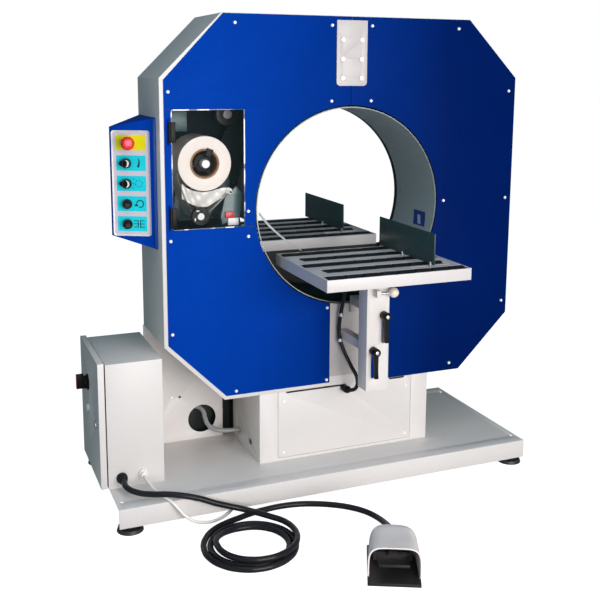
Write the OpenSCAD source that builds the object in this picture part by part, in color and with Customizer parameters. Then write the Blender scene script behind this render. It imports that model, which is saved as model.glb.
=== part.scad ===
// Ring stretch wrapper: a film reel runs round a vertical ring while the goods pass through it on two roller tables.
// The machine's own axes: X across, Y from front to back, Z up. The ring's axis is parallel to Y.

/* [Placing] */
// Distance of the ring axis from the origin, across
ring_x = 115; // [60:1:160]
// Distance of the housing's front face from the origin
front_y = 4; // [-40:1:60]

/* [Housing] */
// Width of the eight-sided housing
house_w = 1174; // [1150:1:1500]
// Height of the housing
house_h = 1138; // [1130:1:1500]
// Depth of the housing, front to back
house_d = 272; // [265:1:400]
// Height of the housing's lowest edge above the floor
house_z = 303; // [220:1:420]
// Leg of the cut-off corners
corner = 182; // [140:1:240]
// Light rim left round the blue panels
rim = 12; // [6:1:25]
// Thickness of the folded sheet
sheet = 3; // [2:0.5:4]
// Thickness of a blue cover panel
panel_t = 2; // [1.5:0.5:3]

/* [Ring] */
// Clear opening of the ring
ring_d = 600; // [480:1:640]
// Outer radius of the rotating ring plate
plate_r = 400; // [370:1:410]
// Thickness of the rotating ring plate
plate_t = 14; // [10:1:20]
// Place of the ring plate behind the front face
plate_y = 194; // [190:1:200]
// Radius of a support wheel's tread
wheel_r = 30; // [22:1:36]
// Radius of the driven friction wheel
drive_r = 60; // [45:1:66]

/* [Reel] */
// Diameter of a full film roll
roll_d = 161; // [110:1:165]
// Width of the film
film_w = 124; // [80:1:126]
// Inner diameter of the cardboard core
core_d = 76; // [50:1:78]
// Place of the roll's near face behind the front face
roll_y = 45; // [40:1:50]

/* [Window] */
// Width of the reel window
window_w = 219; // [180:1:225]
// Height of the reel window
window_h = 345; // [280:1:380]
// Thickness of the clear door
window_t = 5; // [3:0.5:6]

/* [Stand] */
// Width of the base pan
base_w = 1342; // [1250:1:1600]
// Depth of the base pan
base_d = 551; // [500:1:700]
// Height of the base pan's folded edge
base_h = 58; // [40:1:90]
// Room between floor and base pan
clear_z = 20; // [16:1:30]
// Radius of a levelling foot
foot_r = 38; // [25:1:45]
// Width of the box that carries the housing
stand_w = 586; // [480:1:640]
// Radius of an anchor hole in the base pan
anchor_r = 6.5; // [4:0.5:9]

/* [Tables] */
// Width of both roller tables
table_w = 448; // [360:1:460]
// Height of the tables' upper face above the floor
table_z = 730; // [715:1:760]
// Height of a table's folded edge
table_h = 34; // [30:1:50]
// Length of the front table
front_l = 390; // [370:1:440]
// Length of the back table
back_l = 410; // [370:1:460]
// Radius of a table roller
roller_r = 15; // [10:0.5:16]
// Height of a side fence
fence_h = 91; // [50:1:140]
// Length of a side fence
fence_l = 344; // [250:1:360]
// Width of a table column
column_w = 72; // [66:1:90]
// Depth of a table column
column_d = 55; // [40:1:55]
// Height that a table can be raised by
lift = 70; // [30:1:72]

/* [Cabinet] */
// Width of the electrical cabinet without its door
cab_w = 165; // [120:1:168]
// Depth of the cabinet
cab_d = 300; // [220:1:340]
// Height of the cabinet
cab_h = 376; // [300:1:460]
// Thickness of the cabinet's door
door_t = 18; // [12:1:25]

/* [Controls] */
// Radius of a control's mounting hole
ctrl_r = 11.1; // [8:0.1:11.6]
// Radius of the emergency stop's head
stop_r = 20; // [14:0.5:20.5]

/* [Pedal] */
// Width of the foot pedal
pedal_w = 136; // [110:1:160]
// Length of the foot pedal
pedal_l = 190; // [160:1:230]
// Height of the pedal's hood
pedal_h = 98; // [80:1:120]

/* [Hidden] */
$fn = 64;

fit = 0.05;             // radial play of a shaft in its bore
gap = 0.3;              // play between faces that pass each other
seam = 1.2;             // open line between two sheets
light = "#D9D6D2";      // light grey paint
shade = "#A9AAAE";
blue = "#0B46A8";
dark = "#1B1B1D";
steel = "#B9BCC0";
fence_grey = "#3B4A4C";

// housing
mid_z = house_z + house_h / 2;
ring_r = ring_d / 2;
drum_t = 3;
drum_y = -panel_t;
drum_l = house_d - 16;
hole_r = ring_r + drum_t + 4;
seal_l = 12;
flange = rim + 18;
split = 62;             // half the gap between the panels below the ring
plate_half = 50;        // half width of the upper joint plate
plate_z = mid_z + ring_r + 65;
plate_bolts = [for (x = [-31, 31], k = [0:2]) [x, house_z + house_h - 69 - 56 * k]];
screw_r = 5;
screw_h = 3;
lower_top = mid_z - hole_r;

// running gear round the ring
wheel_w = plate_t + 8;
wheel_at = plate_r + wheel_r + gap;
wheel_angles = [140, 40, 220];
drive_at = plate_r + drive_r + gap;
drive_angle = -40;
shaft_r = 8;
cap_r = 14;

// reel carriage, places seen from the front
reel_x = -445;
reel_z = mid_z + 141;
low_x = -462;
low_z = mid_z - 12;
up_x = -370;
up_z = mid_z + 56;
carriage_y = 172;
carriage_t = 6;
core_t = 6;
low_r = 18;
up_r = 10;
journal_r = 6;

// window
win_x = -556;
win_z = 828;
hinge_h = 58;
hinge_r = 5;
hinge_y = -hinge_r - panel_t - gap;
hinge_zs = [win_z + 9, win_z + window_h - hinge_h - 35];
knuckle = 7;

// stand
base_x = -757;
base_y = -140;
base_top = clear_z + base_h;
foot_h = 14;
foot_in = [35, 30];
anchor_in = [17, 48];
stand_y = 3;
cover_half = stand_w / 2 - 61;
oval_y = [96, 205];
support_hole_x = -401;
support_hole_z = 146;
support_hole_r = 47;

// tables
front_y1 = 46;
back_y0 = 254;
roller_pitch = 84;
roller_proud = 4;
roller_z = table_z + roller_proud - roller_r;
segment = 56;
slot_half = roller_r + 3;
axle_r = 4;
long_in = 6;
short_in = 38;
fence_x = 131;
fence_t = 3;
fence_z = table_z + roller_proud + 1;
stud_r = 5;
fence_move = 60;
beam_h = 7;
beam_x = 30;
beam_w = 30;
column_z = 350;
column_top = table_z - table_h;
column_gap = 152;       // from the housing's front face to the back of the front column
lever_hub_r = 13;
lever_hub_l = 30;
bolt_r = 4;
lever_l = 74;
lever_places = [[17, 578], [-15, 473]];
arm_half = 13;
lug_z = 648;
lug_out = 18;

// cabinet
cab_x = -760;
door_gap = 4;
door_x = cab_x - door_gap - door_t;
door_hinges = [base_top + 50, base_top + cab_h - 100];
door_barrel = 50;
knob_l = 30;
gland_r = 12;

// control pod: the front corner, the outer corner and the back corner of its plan
pod_y0 = 48;
pod_y1 = 254;
pod_z0 = 768;
pod_z1 = 1148;
pod_out = 119;
pod_out_y = 111;
pod_out_z0 = 807;
pod_out_z1 = 1121;
pod_turn = -atan((pod_out_y - pod_y0) / pod_out);
pod_mid_z = 960;
face_w = 110;
face_h = 304;
face_t = 2;
face_x = -6;
ctrl_x = -21;
ctrl_pitch = 58.5;
bezel_r = 14.5;

// pedal
pedal_x = -124;
pedal_y = -561;
pedal_turn = -25.6;
pedal_base_t = 8;
hood_t = 4;
treadle_z = 34;
treadle_y = 30;
ear_x = 48;

// cords: diameters and routes
pedal_cord_d = 14;
coil_mid = [-436, -331];
coil_r0 = 93;
coil_r1 = 135;
coil_h = 28;
mains_d = 8;
mains_mid = [110, 520];
mains_r0 = 36;
mains_r1 = 52;
mains_h = 24;
pedal_in = [
    [-721, -24, 108], [-718, -58, 102], [-694, -90, 97], [-656, -114, 96], [-618, -131, 96],
    [-575, -147, 91], [-530, -158, 79], [-490, -164, 62], [-450, -168, 46], [-410, -178, 34],
    [-372, -198, 22], [-346, -226, 14]
];
pedal_out = [
    [-459, -196, 7], [-420, -180, 7], [-380, -164, 7], [-330, -154, 7], [-276, -152, 7],
    [-224, -160, 7], [-180, -176, 7], [-136, -200, 7], [-96, -232, 7], [-66, -270, 7],
    [-50, -310, 8], [-46, -360, 12], [-54, -408, 22], [-68, -446, 32], [-84, -476, 38]
];
mains_out = [
    [-659, -22, 113], [-655, -58, 106], [-640, -98, 93], [-621, -131, 85], [-608, -149, 78],
    [-594, -156, 58], [-580, -158, 34], [-556, -158, 12], [-510, -156, 5], [-460, -148, 4], [-420, -110, 4],
    [-360, -20, 4], [-280, 110, 4], [-180, 250, 4], [-80, 362, 4], [0, 424, 4], [60, 462, 4], [108, 472, 4]
];
plug_out = [[151.6, 496, 20], [166, 522, 14], [186, 552, 7], [212, 576, 9], [240, 586, 18]];
sensor_route = [
    [-8, -36, 292], [2, -46, 306], [4, -46, 330], [-14, -40, 370], [-30, -30, 420],
    [-38, -22, 466], [-38, -22, 520], [-36, -36, 570], [-38, -54, 610], [-46, -80, 655],
    [-54, -100, 682], [-57, -104, 690], [-58, -105, 703]
];
bundle_route = [
    [-595, 288, 150], [-560, 294, 150], [-510, 298, 150], [-460, 300, 149], [-425, 294, 148],
    [-401, 274, 146], [-384, 250, 138], [-362, 228, 126], [-330, 210, 118], [-300, 205, 116], [-280, 205, 116]
];

// ---- helpers of shape ----

module machine() translate([ring_x, front_y, 0]) children();

// a flat outline stood upright: its first axis is X, its second Z, its thickness runs back from y0
module upright(y0, t) translate([0, y0 + t, 0]) rotate([90, 0, 0]) linear_extrude(t) children();

// a round bar along Y
module bar_y(x, y0, z, r, l) translate([x, y0, z]) rotate([-90, 0, 0]) cylinder(r = r, h = l);

// a round bar along X
module bar_x(x0, y, z, r, l) translate([x0, y, z]) rotate([0, 90, 0]) cylinder(r = r, h = l);

module block(x0, x1, y0, y1, z0, z1) translate([x0, y0, z0]) cube([x1 - x0, y1 - y0, z1 - z0]);

// the housing's outline, drawn in by a margin
module eight_sides(margin) {
    w = house_w / 2 - margin;
    h = house_h / 2 - margin;
    c = corner - margin * (2 - sqrt(2));
    translate([0, mid_z]) polygon([
        [-w, -h + c], [-w + c, -h], [w - c, -h], [w, -h + c],
        [w, h - c], [w - c, h], [-w + c, h], [-w, h - c]
    ]);
}

module round_slot(w, l) hull() for (s = [-1, 1]) translate([0, s * (l - w) / 2]) circle(d = w);

function unit(v) = v / norm(v);
function ends(p) = concat([2 * p[0] - p[1]], p, [2 * p[len(p) - 1] - p[len(p) - 2]]);
function curve(p, i, t) = (p[i] * (-t * t * t + 2 * t * t - t) + p[i + 1] * (3 * t * t * t - 5 * t * t + 2)
    + p[i + 2] * (-3 * t * t * t + 4 * t * t + t) + p[i + 3] * (t * t * t - t * t)) / 2;
function smooth(p, n) = concat(
    [for (i = [0:len(p) - 2], k = [0:n - 1]) curve(ends(p), i, k / n)], [p[len(p) - 1]]);
function along(p, i) = unit(p[min(i + 1, len(p) - 1)] - p[max(i - 1, 0)]);

// a round tube through the given points; side is a direction that the route never follows
module tube(points, d, side, sides = 10, steps = 2) {
    p = smooth(points, steps);
    n = len(p);
    verts = [for (i = [0:n - 1]) let (
        u = unit(cross(along(p, i), side)), v = cross(along(p, i), u))
        for (k = [0:sides - 1]) p[i] + d / 2 * (cos(360 * k / sides) * u + sin(360 * k / sides) * v)];
    walls = [for (i = [0:n - 2], k = [0:sides - 1]) [
        i * sides + k, i * sides + (k + 1) % sides, (i + 1) * sides + (k + 1) % sides, (i + 1) * sides + k]];
    first = [for (k = [sides - 1:-1:0]) k];
    last = [for (k = [0:sides - 1]) (n - 1) * sides + k];
    polyhedron(points = verts, faces = concat([first], walls, [last]), convexity = 4);
}

// ---- stand ----

module base_pan() machine() color(light) {
    x1 = base_x + base_w;
    y1 = base_y + base_d;
    difference() {
        union() {
            block(base_x, x1, base_y, y1, base_top - sheet, base_top);
            for (y = [base_y, y1 - sheet]) block(base_x, x1, y, y + sheet, clear_z, base_top);
            for (y = [base_y, y1 - 28]) block(base_x, x1, y, y + 28, clear_z, clear_z + sheet);
        }
        for (x = [base_x + anchor_in[0], x1 - anchor_in[0]], y = [base_y + anchor_in[1], y1 - anchor_in[1]])
            translate([x, y, base_top - 2 * sheet]) cylinder(r = anchor_r, h = 3 * sheet);
        for (x = [base_x + foot_in[0], x1 - foot_in[0]], y = [base_y + foot_in[1], y1 - foot_in[1]])
            translate([x, y, 0]) cylinder(r = 9, h = clear_z + 2 * sheet);
    }
}

module levelling_feet() machine() color(dark)
    for (x = [base_x + foot_in[0], base_x + base_w - foot_in[0]],
        y = [base_y + foot_in[1], base_y + base_d - foot_in[1]])
        translate([x, y, 0]) {
            cylinder(r1 = foot_r, r2 = foot_r - 3, h = foot_h - 4);
            translate([0, 0, foot_h - 4]) cylinder(r = 14, h = 4);
            cylinder(r = 7, h = base_top - sheet);
            translate([0, 0, clear_z + sheet + 4]) cylinder(r = 12, h = 10, $fn = 6);
        }

module stand_box() machine() color(light) {
    h = stand_w / 2;
    y1 = house_d - sheet;
    difference() {
        block(-h, h, stand_y, y1, base_top, house_z);
        block(-h + sheet, h - sheet, stand_y + sheet, y1 - sheet, base_top - 1, house_z - sheet);
        block(-cover_half - seam, cover_half + seam, stand_y - 1, stand_y + sheet + 1,
            base_top + 10 - seam, house_z + 1);
        for (y = oval_y) translate([-h - 1, y, 116]) rotate([90, 0, 90]) linear_extrude(sheet + 2)
            rotate(90) round_slot(17, 28);
    }
    for (s = [-1, 1]) block(s * (cover_half - 4) - 16, s * (cover_half - 4) + 16,
        stand_y + sheet, stand_y + 2 * sheet, base_top, house_z - sheet);
}

module stand_cover() machine() color(light) difference() {
    block(-cover_half, cover_half, stand_y, stand_y + sheet, base_top + 10, house_z - seam);
    for (span = [[-205, -13], [152, 207]])
        block(span[0], span[1], stand_y - 1, stand_y + sheet + 1, house_z - 7, house_z + 1);
    bar_y(-10, stand_y - 1, 291, 11.55, sheet + 2);
}

module rear_support_plate() machine() color(light) difference() {
    upright(house_d - sheet, sheet) difference() {
        polygon([[-590, base_top], [-330, base_top], [-330, house_z], [corner - house_w / 2, house_z],
            [-house_w / 2, house_z + corner], [-590, house_z + corner]]);
        translate([support_hole_x, support_hole_z]) circle(r = support_hole_r);
        for (x = [-500, -475]) translate([x, 229]) circle(r = 4);
    }
}

// ---- housing ----

module housing_shell() machine() color(light) {
    upright(0, house_d) difference() {
        eight_sides(0);
        eight_sides(sheet);
    }
    upright(0, sheet) difference() {
        eight_sides(sheet / 2);
        eight_sides(flange);
    }
    upright(house_d - sheet - panel_t, sheet) difference() {
        eight_sides(sheet / 2);
        eight_sides(flange);
    }
}

module front_cover(s) difference() {
    intersection() {
        eight_sides(rim);
        translate([s > 0 ? seam / 2 : -house_w, 0]) square([house_w - seam / 2, 2 * mid_z]);
    }
    translate([0, mid_z]) circle(r = hole_r);
    translate([-split, 0]) square([2 * split, mid_z]);
}

module front_panel_left() machine() {
    color(blue) upright(-panel_t, panel_t) difference() {
        front_cover(-1);
        translate([win_x, win_z]) square([window_w, window_h]);
    }
    // fixed knuckles above and below each hinge barrel of the window
    color(dark) for (z = hinge_zs, k = [z - gap - knuckle, z + hinge_h + gap]) {
        translate([win_x - 5, hinge_y - 2, k]) cylinder(r = hinge_r - 0.5, h = knuckle);
        block(win_x - 9, win_x - 5, hinge_y - 2, -panel_t, k, k + knuckle);
    }
}

module front_panel_right() machine() color(blue) upright(-panel_t, panel_t) front_cover(1);

module back_panel() machine() {
    color(blue) upright(house_d - panel_t, panel_t) difference() {
        eight_sides(sheet + seam);
        translate([0, mid_z]) circle(r = ring_r + 3);
    }
    // welded studs that carry the support wheels
    color(steel) for (a = wheel_angles) {
        x = wheel_at * cos(a);
        z = mid_z + wheel_at * sin(a);
        y0 = plate_y + (plate_t - wheel_w) / 2 - 2;
        bar_y(x, y0, z, shaft_r, house_d - panel_t - y0);
        bar_y(x, plate_y + plate_t + 6, z, 20, house_d - panel_t - plate_y - plate_t - 6);
    }
}

// plates that tie the two halves of the housing together, with the arms that the columns are clamped to
module joint_plates() machine() color(light) {
    upright(-panel_t - sheet, sheet) difference() {
        union() {
            translate([-plate_half, plate_z + 12]) square([2 * plate_half, house_z + house_h - rim - plate_z - 12]);
            translate([12 - plate_half, plate_z]) square([2 * plate_half - 24, 13]);
            for (s = [-1, 1]) translate([s * (plate_half - 12), plate_z + 12]) circle(r = 12);
        }
        for (p = plate_bolts) translate(p) circle(r = 3);
    }
    difference() {
        union() {
            upright(0.02, sheet) difference() {
                translate([-split - 14, house_z + flange + 0.05]) square([2 * split + 28, lower_top - house_z]);
                translate([0, mid_z]) circle(r = hole_r);
            }
            // clamp arms, each with a foot on the plate, cut back round the turning drum
            for (p = lever_places) difference() {
                union() {
                    block(p[0] - arm_half, p[0] + arm_half, -column_gap - column_d + sheet + gap, 0.02,
                        p[1] - arm_half, p[1] + arm_half);
                    block(p[0] - arm_half, p[0] + arm_half, -12, 0.02, p[1] - arm_half - 26, p[1] - arm_half + 1);
                }
                bar_y(0, -5, mid_z, hole_r - 0.5, 6);
            }
        }
        for (p = lever_places) bar_y(p[0], -column_gap - column_d - 1, p[1], bolt_r + fit, 32);
    }
    difference() {
        union() {
            upright(house_d + 0.02, sheet) difference() {
                translate([-split - 14, house_z + sheet]) square([2 * split + 28, lower_top - house_z]);
                translate([0, mid_z]) circle(r = hole_r);
            }
            block(-arm_half, arm_half, house_d + sheet, back_column_y1() - sheet - gap, 518 - arm_half, 518 + arm_half);
        }
        bar_y(0, back_column_y1() - 31, 518, bolt_r + fit, 32);
    }
}

left_screws = [[-365, 1414], [-64, 1413], [-562, 1221], [-64, 1192], [-328, 874], [-328, 799],
    [-562, 799], [-562, 523], [-369, 327], [-72, 558], [-72, 325]];
right_screws = [[67, 1414], [368, 1412], [562, 1220], [67, 1192], [565, 873], [331, 874],
    [567, 524], [372, 328], [72, 558], [72, 325]];

module panel_screws() machine() color(steel) {
    for (p = concat(left_screws, right_screws)) translate([p[0], -panel_t, p[1]]) rotate([90, 0, 0]) {
        cylinder(r1 = screw_r, r2 = screw_r - 1.5, h = screw_h);
    }
    for (p = plate_bolts) translate([p[0], -panel_t - sheet, p[1]]) rotate([90, 0, 0])
        cylinder(r = 7, h = 4, $fn = 6);
    for (x = [-214, 214], z = [105, 270]) translate([x, stand_y, z]) rotate([90, 0, 0])
        cylinder(r1 = 6, r2 = 4, h = screw_h);
}

module rear_seal() machine() color(dark) translate([0, house_d + 2, mid_z]) rotate([90, 0, 0])
    difference() {
        cylinder(r = ring_r + 3, h = seal_l, $fn = 128);
        translate([0, 0, -1]) cylinder(r = ring_r, h = seal_l + 2, $fn = 128);
    }

module drive_motor() machine() color("#5A5E64") {
    x = drive_at * cos(drive_angle);
    z = mid_z + drive_at * sin(drive_angle);
    difference() {
        union() {
            bar_y(x, plate_y + plate_t + 14, z, 52, house_d - panel_t - plate_y - plate_t - 14);
            bar_y(x, plate_y + plate_t + 6, z, 20, 8);
        }
        bar_y(x, plate_y + plate_t - 1, z, shaft_r + fit, 30);
    }
}

// ---- ring and reel ----

module ring_plate() machine() color(steel) translate([0, plate_y + plate_t, mid_z]) rotate([90, 0, 0])
    difference() {
        cylinder(r = plate_r, h = plate_t, $fn = 128);
        translate([0, 0, -1]) cylinder(r = ring_r + drum_t + 0.02, h = plate_t + 2, $fn = 128);
    }

module ring_drum() machine() color(shade) difference() {
    translate([0, drum_y + drum_l, mid_z]) rotate([90, 0, 0]) difference() {
        cylinder(r = ring_r + drum_t, h = drum_l, $fn = 128);
        translate([0, 0, -1]) cylinder(r = ring_r, h = drum_l + 2, $fn = 128);
    }
    // the low left part is left open for the film
    upright(drum_y - 1, plate_y - 20 - drum_y) translate([0, mid_z])
        polygon(concat([[0, 0]], [for (a = [188:14:300]) 420 * [cos(a), sin(a)]]));
}

module reel_carriage() machine() {
    color("#7C8A88") {
        difference() {
            upright(carriage_y, carriage_t) polygon([
                [reel_x - 50, reel_z - 30], [reel_x - 30, reel_z + 40], [reel_x + 40, reel_z + 40],
                [-330, mid_z + 90], [-330, mid_z - 40], [low_x + 30, low_z - 32], [low_x - 30, low_z - 32],
                [low_x - 46, low_z]]);
            bar_y(reel_x, carriage_y - 1, reel_z, 12 + fit, carriage_t + 2);
            bar_y(low_x, carriage_y - 1, low_z, journal_r + fit, carriage_t + 2);
            bar_y(up_x, carriage_y - 1, up_z, journal_r + fit, carriage_t + 2);
        }
        for (p = [[-345, mid_z + 70], [-345, mid_z + 10], [-350, mid_z - 30]])
            bar_y(p[0], carriage_y + carriage_t, p[1], 10, plate_y - carriage_y - carriage_t);
        // link in front of the upper roller
        difference() {
            upright(roll_y - 8, 4) polygon([[-386, up_z - 14], [-352, up_z + 16], [-330, up_z - 10],
                [-342, up_z - 74], [-396, up_z - 96], [-400, up_z - 70]]);
            bar_y(up_x, roll_y - 9, up_z, journal_r + fit, 6);
        }
        bar_y(-345, roll_y - 4, up_z - 20, 5, carriage_y - roll_y + 4);
        bar_y(-385, roll_y - 4, up_z - 84, 5, carriage_y - roll_y + 4);
    }
    color("#C8202C") block(-388, -362, roll_y - 16, roll_y - 8, up_z - 76, up_z - 58);
    color("#E8E6E2") block(-380, -348, roll_y - 16, roll_y - 8, up_z - 98, up_z - 77);
    // balance weight on the other side of the ring
    color("#4A4E52") rotate_about_ring(-17) block(325, 385, plate_y - 44, plate_y, mid_z - 80, mid_z + 80);
}

module rotate_about_ring(a) translate([0, 0, mid_z]) rotate([0, -a, 0]) translate([0, 0, -mid_z]) children();

module support_wheel(a) machine() {
    y0 = plate_y + (plate_t - wheel_w) / 2;
    color(dark) translate([wheel_at * cos(a), y0 + wheel_w, mid_z + wheel_at * sin(a)]) rotate([90, 0, 0])
        difference() {
            rotate_extrude($fn = 96) polygon([
                [shaft_r + fit, 0], [wheel_r + 5, 0], [wheel_r + 5, 2], [wheel_r, 4 - gap],
                [wheel_r, wheel_w - 4 + gap], [wheel_r + 5, wheel_w - 2], [wheel_r + 5, wheel_w],
                [shaft_r + fit, wheel_w]]);
        }
    // retaining cap, a white disc
    color("#F0F0EE") translate([wheel_at * cos(a), y0 - gap, mid_z + wheel_at * sin(a)]) rotate([90, 0, 0])
        difference() {
            cylinder(r = cap_r, h = 5);
            translate([0, 0, -1]) cylinder(r = shaft_r + fit, h = 4);
        }
}

module support_wheel_left() support_wheel(wheel_angles[0]);
module support_wheel_right() support_wheel(wheel_angles[1]);
module support_wheel_low() support_wheel(wheel_angles[2]);

module drive_wheel() machine() {
    x = drive_at * cos(drive_angle);
    z = mid_z + drive_at * sin(drive_angle);
    color(dark) bar_y(x, plate_y, z, drive_r, plate_t);
    color(steel) {
        bar_y(x, plate_y - 4, z, 18, 4);
        bar_y(x, plate_y + plate_t, z, shaft_r, 26);
    }
}

module film_roll() machine() {
    color("#F1EBE2") translate([reel_x, roll_y, reel_z]) rotate([-90, 0, 0]) difference() {
        cylinder(d = roll_d, h = film_w, $fn = 96);
        translate([0, 0, -1]) cylinder(d = core_d + 2 * core_t + 0.1, h = film_w + 2, $fn = 96);
    }
    color("#8A5A34") translate([reel_x, roll_y, reel_z]) rotate([-90, 0, 0]) difference() {
        cylinder(d = core_d + 2 * core_t, h = film_w, $fn = 96);
        translate([0, 0, -1]) cylinder(d = core_d, h = film_w + 2, $fn = 96);
    }
}

module reel_spindle() machine() {
    hub_r = core_d / 2 - 8;
    color(dark) {
        bar_y(reel_x, roll_y + 12, reel_z, hub_r, film_w - 12);
        for (a = [65, 185, 305]) translate([reel_x, roll_y + 10, reel_z]) rotate([0, -a, 0])
            translate([0, 0, -7]) cube([core_d / 2 - 1, film_w - 20, 14]);
        bar_y(reel_x, roll_y + film_w, reel_z, 20, carriage_y - roll_y - film_w - gap);
        bar_y(reel_x, roll_y + film_w, reel_z, 12, carriage_y + carriage_t + 6 - roll_y - film_w);
    }
    color("#F0F0EE") bar_y(reel_x, roll_y - 12, reel_z, 12, 26);
}

module roller_on(x, z, r) {
    bar_y(x, roll_y, z, r, film_w);
    bar_y(x, roll_y + film_w, z, journal_r, carriage_y + carriage_t + 4 - roll_y - film_w);
}

module lower_roller() machine() {
    color("#C9C7C2") roller_on(low_x, low_z, low_r);
    color(dark) bar_y(low_x, roll_y - 10, low_z, 26, 10);
    color("#F0F0EE") bar_y(low_x, roll_y - 13, low_z, 9, 3);
}

module upper_roller() machine() color("#E8E6E2") {
    roller_on(up_x, up_z, up_r);
    bar_y(up_x, roll_y - 9, up_z, journal_r, 9);
}

// ---- window ----

module window_door() machine() {
    g = 1;
    y0 = -panel_t - 1;
    color("#BFD4DC") block(win_x + g, win_x + window_w - g, y0, y0 + window_t, win_z + g, win_z + window_h - g);
    color(dark) for (z = hinge_zs) {
        translate([win_x - 5, hinge_y - 2, z]) cylinder(r = hinge_r - 0.5, h = hinge_h);
        block(win_x - 5, win_x + 14, y0 - 3, y0, z, z + hinge_h);
    }
}

// ---- cabinet ----

module cabinet_body() machine() {
    color(light) difference() {
        block(cab_x, cab_x + cab_w, 0, cab_d, base_top, base_top + cab_h);
        block(cab_x - 1, cab_x + cab_w - 2, 2, cab_d - 2, base_top + 2, base_top + cab_h - 2);
    }
    // fixed hinge knuckles above and below each barrel of the door
    color(dark) for (z = door_hinges, k = [z - gap - 9, z + door_barrel + gap]) {
        translate([door_x + door_t + 1, cab_d + 9, k]) cylinder(r = 5, h = 9);
        block(cab_x - 3, cab_x + 12, cab_d, cab_d + 9, k, k + 9);
    }
}

// drive controller, power supply and terminals on their mounting plate
module control_gear() machine() {
    x = cab_x + cab_w - 2;
    color(steel) block(x - 6, x - 2, 20, cab_d - 20, base_top + 30, base_top + cab_h - 30);
    color(steel) for (y = [40, cab_d - 40], z = [base_top + 50, base_top + cab_h - 50])
        bar_x(x - 2, y, z, 6, 2);
    color("#4A4E52") block(x - 96, x - 6, 40, 130, base_top + 180, base_top + 320);
    color("#6F7F86") block(x - 86, x - 6, 150, 210, base_top + 200, base_top + 300);
    color("#C9A24A") for (k = [0:7]) block(x - 46, x - 6, 44 + 24 * k, 62 + 24 * k, base_top + 80, base_top + 130);
}

module cabinet_door() machine() {
    y0 = -4;
    y1 = cab_d + 4;
    z0 = base_top + 4;
    z1 = base_top + cab_h + 6;
    color(light) difference() {
        block(door_x, door_x + door_t, y0, y1, z0, z1);
        block(door_x + 2, door_x + door_t + 1, y0 + 2, y1 - 2, z0 + 2, z1 - 2);
        bar_x(door_x - 1, 55, 260, 8 + fit, 4);
        bar_x(door_x - 1, 174, 352, 6 + fit, 4);
    }
    color(dark) {
        for (z = door_hinges) {
            translate([door_x + door_t + 1, cab_d + 9, z]) cylinder(r = 5, h = door_barrel);
            block(door_x + door_t - 10, door_x + door_t + 1, y1, y1 + 7, z, z + door_barrel);
        }
        difference() {
            bar_x(door_x - 5, 174, 352, 24, 5);
            bar_x(door_x - 6, 174, 352, 6 + fit, 7);
        }
    }
    color("#F0F0EE") bar_x(door_x - 7, 176, 271, 11, 7);
}

module main_switch() machine() {
    color(dark) {
        bar_x(door_x - 5 - gap - 8, 174, 352, 20, 8);
        bar_x(door_x - 5 - gap, 174, 352, 6, 11);
        block(door_x - 5 - gap - knob_l, door_x - 5 - gap - 8, 168, 180, 334, 370);
    }
    color("#C8202C") block(door_x - 5 - gap - knob_l, door_x - 5 - gap - 8, 168, 180, 370, 378);
}

module door_lock() machine() color(steel) {
    bar_x(door_x - 4, 55, 260, 12, 4 - gap);
    bar_x(door_x - 4, 55, 260, 8, 16);
    block(door_x + 8, door_x + 12, 47, 63, 226, 260);
}

module cable_glands() machine() {
    color(dark) {
        bar_y(-721, -24, 108, gland_r, 24);
        bar_y(-721, -8, 108, gland_r + 4, 8);
        bar_y(-10, -20, 291, 11.5, 20 + stand_y);
        translate([-8, -22, 291]) sphere(r = 11.5);
    }
    color("#ECEAE4") {
        bar_y(-659, -22, 113, 9, 22);
        bar_y(-659, -8, 113, 12.5, 8);
    }
}

// ---- controls ----

module pod_block(g, x1) hull() {
    block(-house_w / 2 - 1, x1, pod_y0 + g, pod_y1 - g, pod_z0 + g, pod_z1 - g);
    block(-house_w / 2 - pod_out + g, -house_w / 2 - pod_out + g + 4, pod_out_y + g / 2, pod_out_y + 8 + g / 2,
        pod_out_z0 + g, pod_out_z1 - g);
}

// places its children on the pod's face: X to the right, -Y out of the face
module on_pod() translate([-house_w / 2 - pod_out / 2, (pod_y0 + pod_out_y) / 2, pod_mid_z])
    rotate([0, 0, pod_turn]) translate([0, -0.8, 0]) children();

module control_pod() machine() color(blue) difference() {
    pod_block(0, -house_w / 2);
    pod_block(3, -house_w / 2 + 1);
    on_pod() for (k = [-2:2]) bar_y(ctrl_x, -20, k * ctrl_pitch, ctrl_r + 1, 40);
}

module control_plate() machine() on_pod() {
    color(blue) difference() {
        block(face_x - face_w / 2, face_x + face_w / 2, -face_t, 0, -face_h / 2, face_h / 2);
        for (k = [-2:2]) bar_y(ctrl_x, -20, k * ctrl_pitch, ctrl_r + 1, 40);
    }
    color("#F2C21A") legend(2);
    color("#46B8DE") for (k = [-2:1]) legend(k);
    color(steel) for (k = [-2:2]) difference() {
        bar_y(ctrl_x, -face_t - 6, k * ctrl_pitch, bezel_r, 6);
        bar_y(ctrl_x, -20, k * ctrl_pitch, ctrl_r, 40);
    }
}

module legend(k) difference() {
    block(face_x - 43, face_x + 43, -face_t - 1, -face_t, k * ctrl_pitch - 22, k * ctrl_pitch + 22);
    bar_y(ctrl_x, -20, k * ctrl_pitch, bezel_r + 0.02, 40);
}

module ctrl_stem(k, l) bar_y(ctrl_x, -face_t - 7 - l, k * ctrl_pitch, ctrl_r - fit, l + 18);

module estop_button() machine() on_pod() color("#C8202C") {
    ctrl_stem(2, 8);
    translate([ctrl_x, -face_t - 14, 2 * ctrl_pitch]) rotate([90, 0, 0]) {
        cylinder(r1 = stop_r - 3, r2 = stop_r, h = 6);
        translate([0, 0, 6]) cylinder(r1 = stop_r, r2 = stop_r - 5, h = 9);
    }
}

module push_button(k) machine() on_pod() color(dark) ctrl_stem(k, 5);
module start_button() push_button(-1);
module stop_button() push_button(-2);

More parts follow.
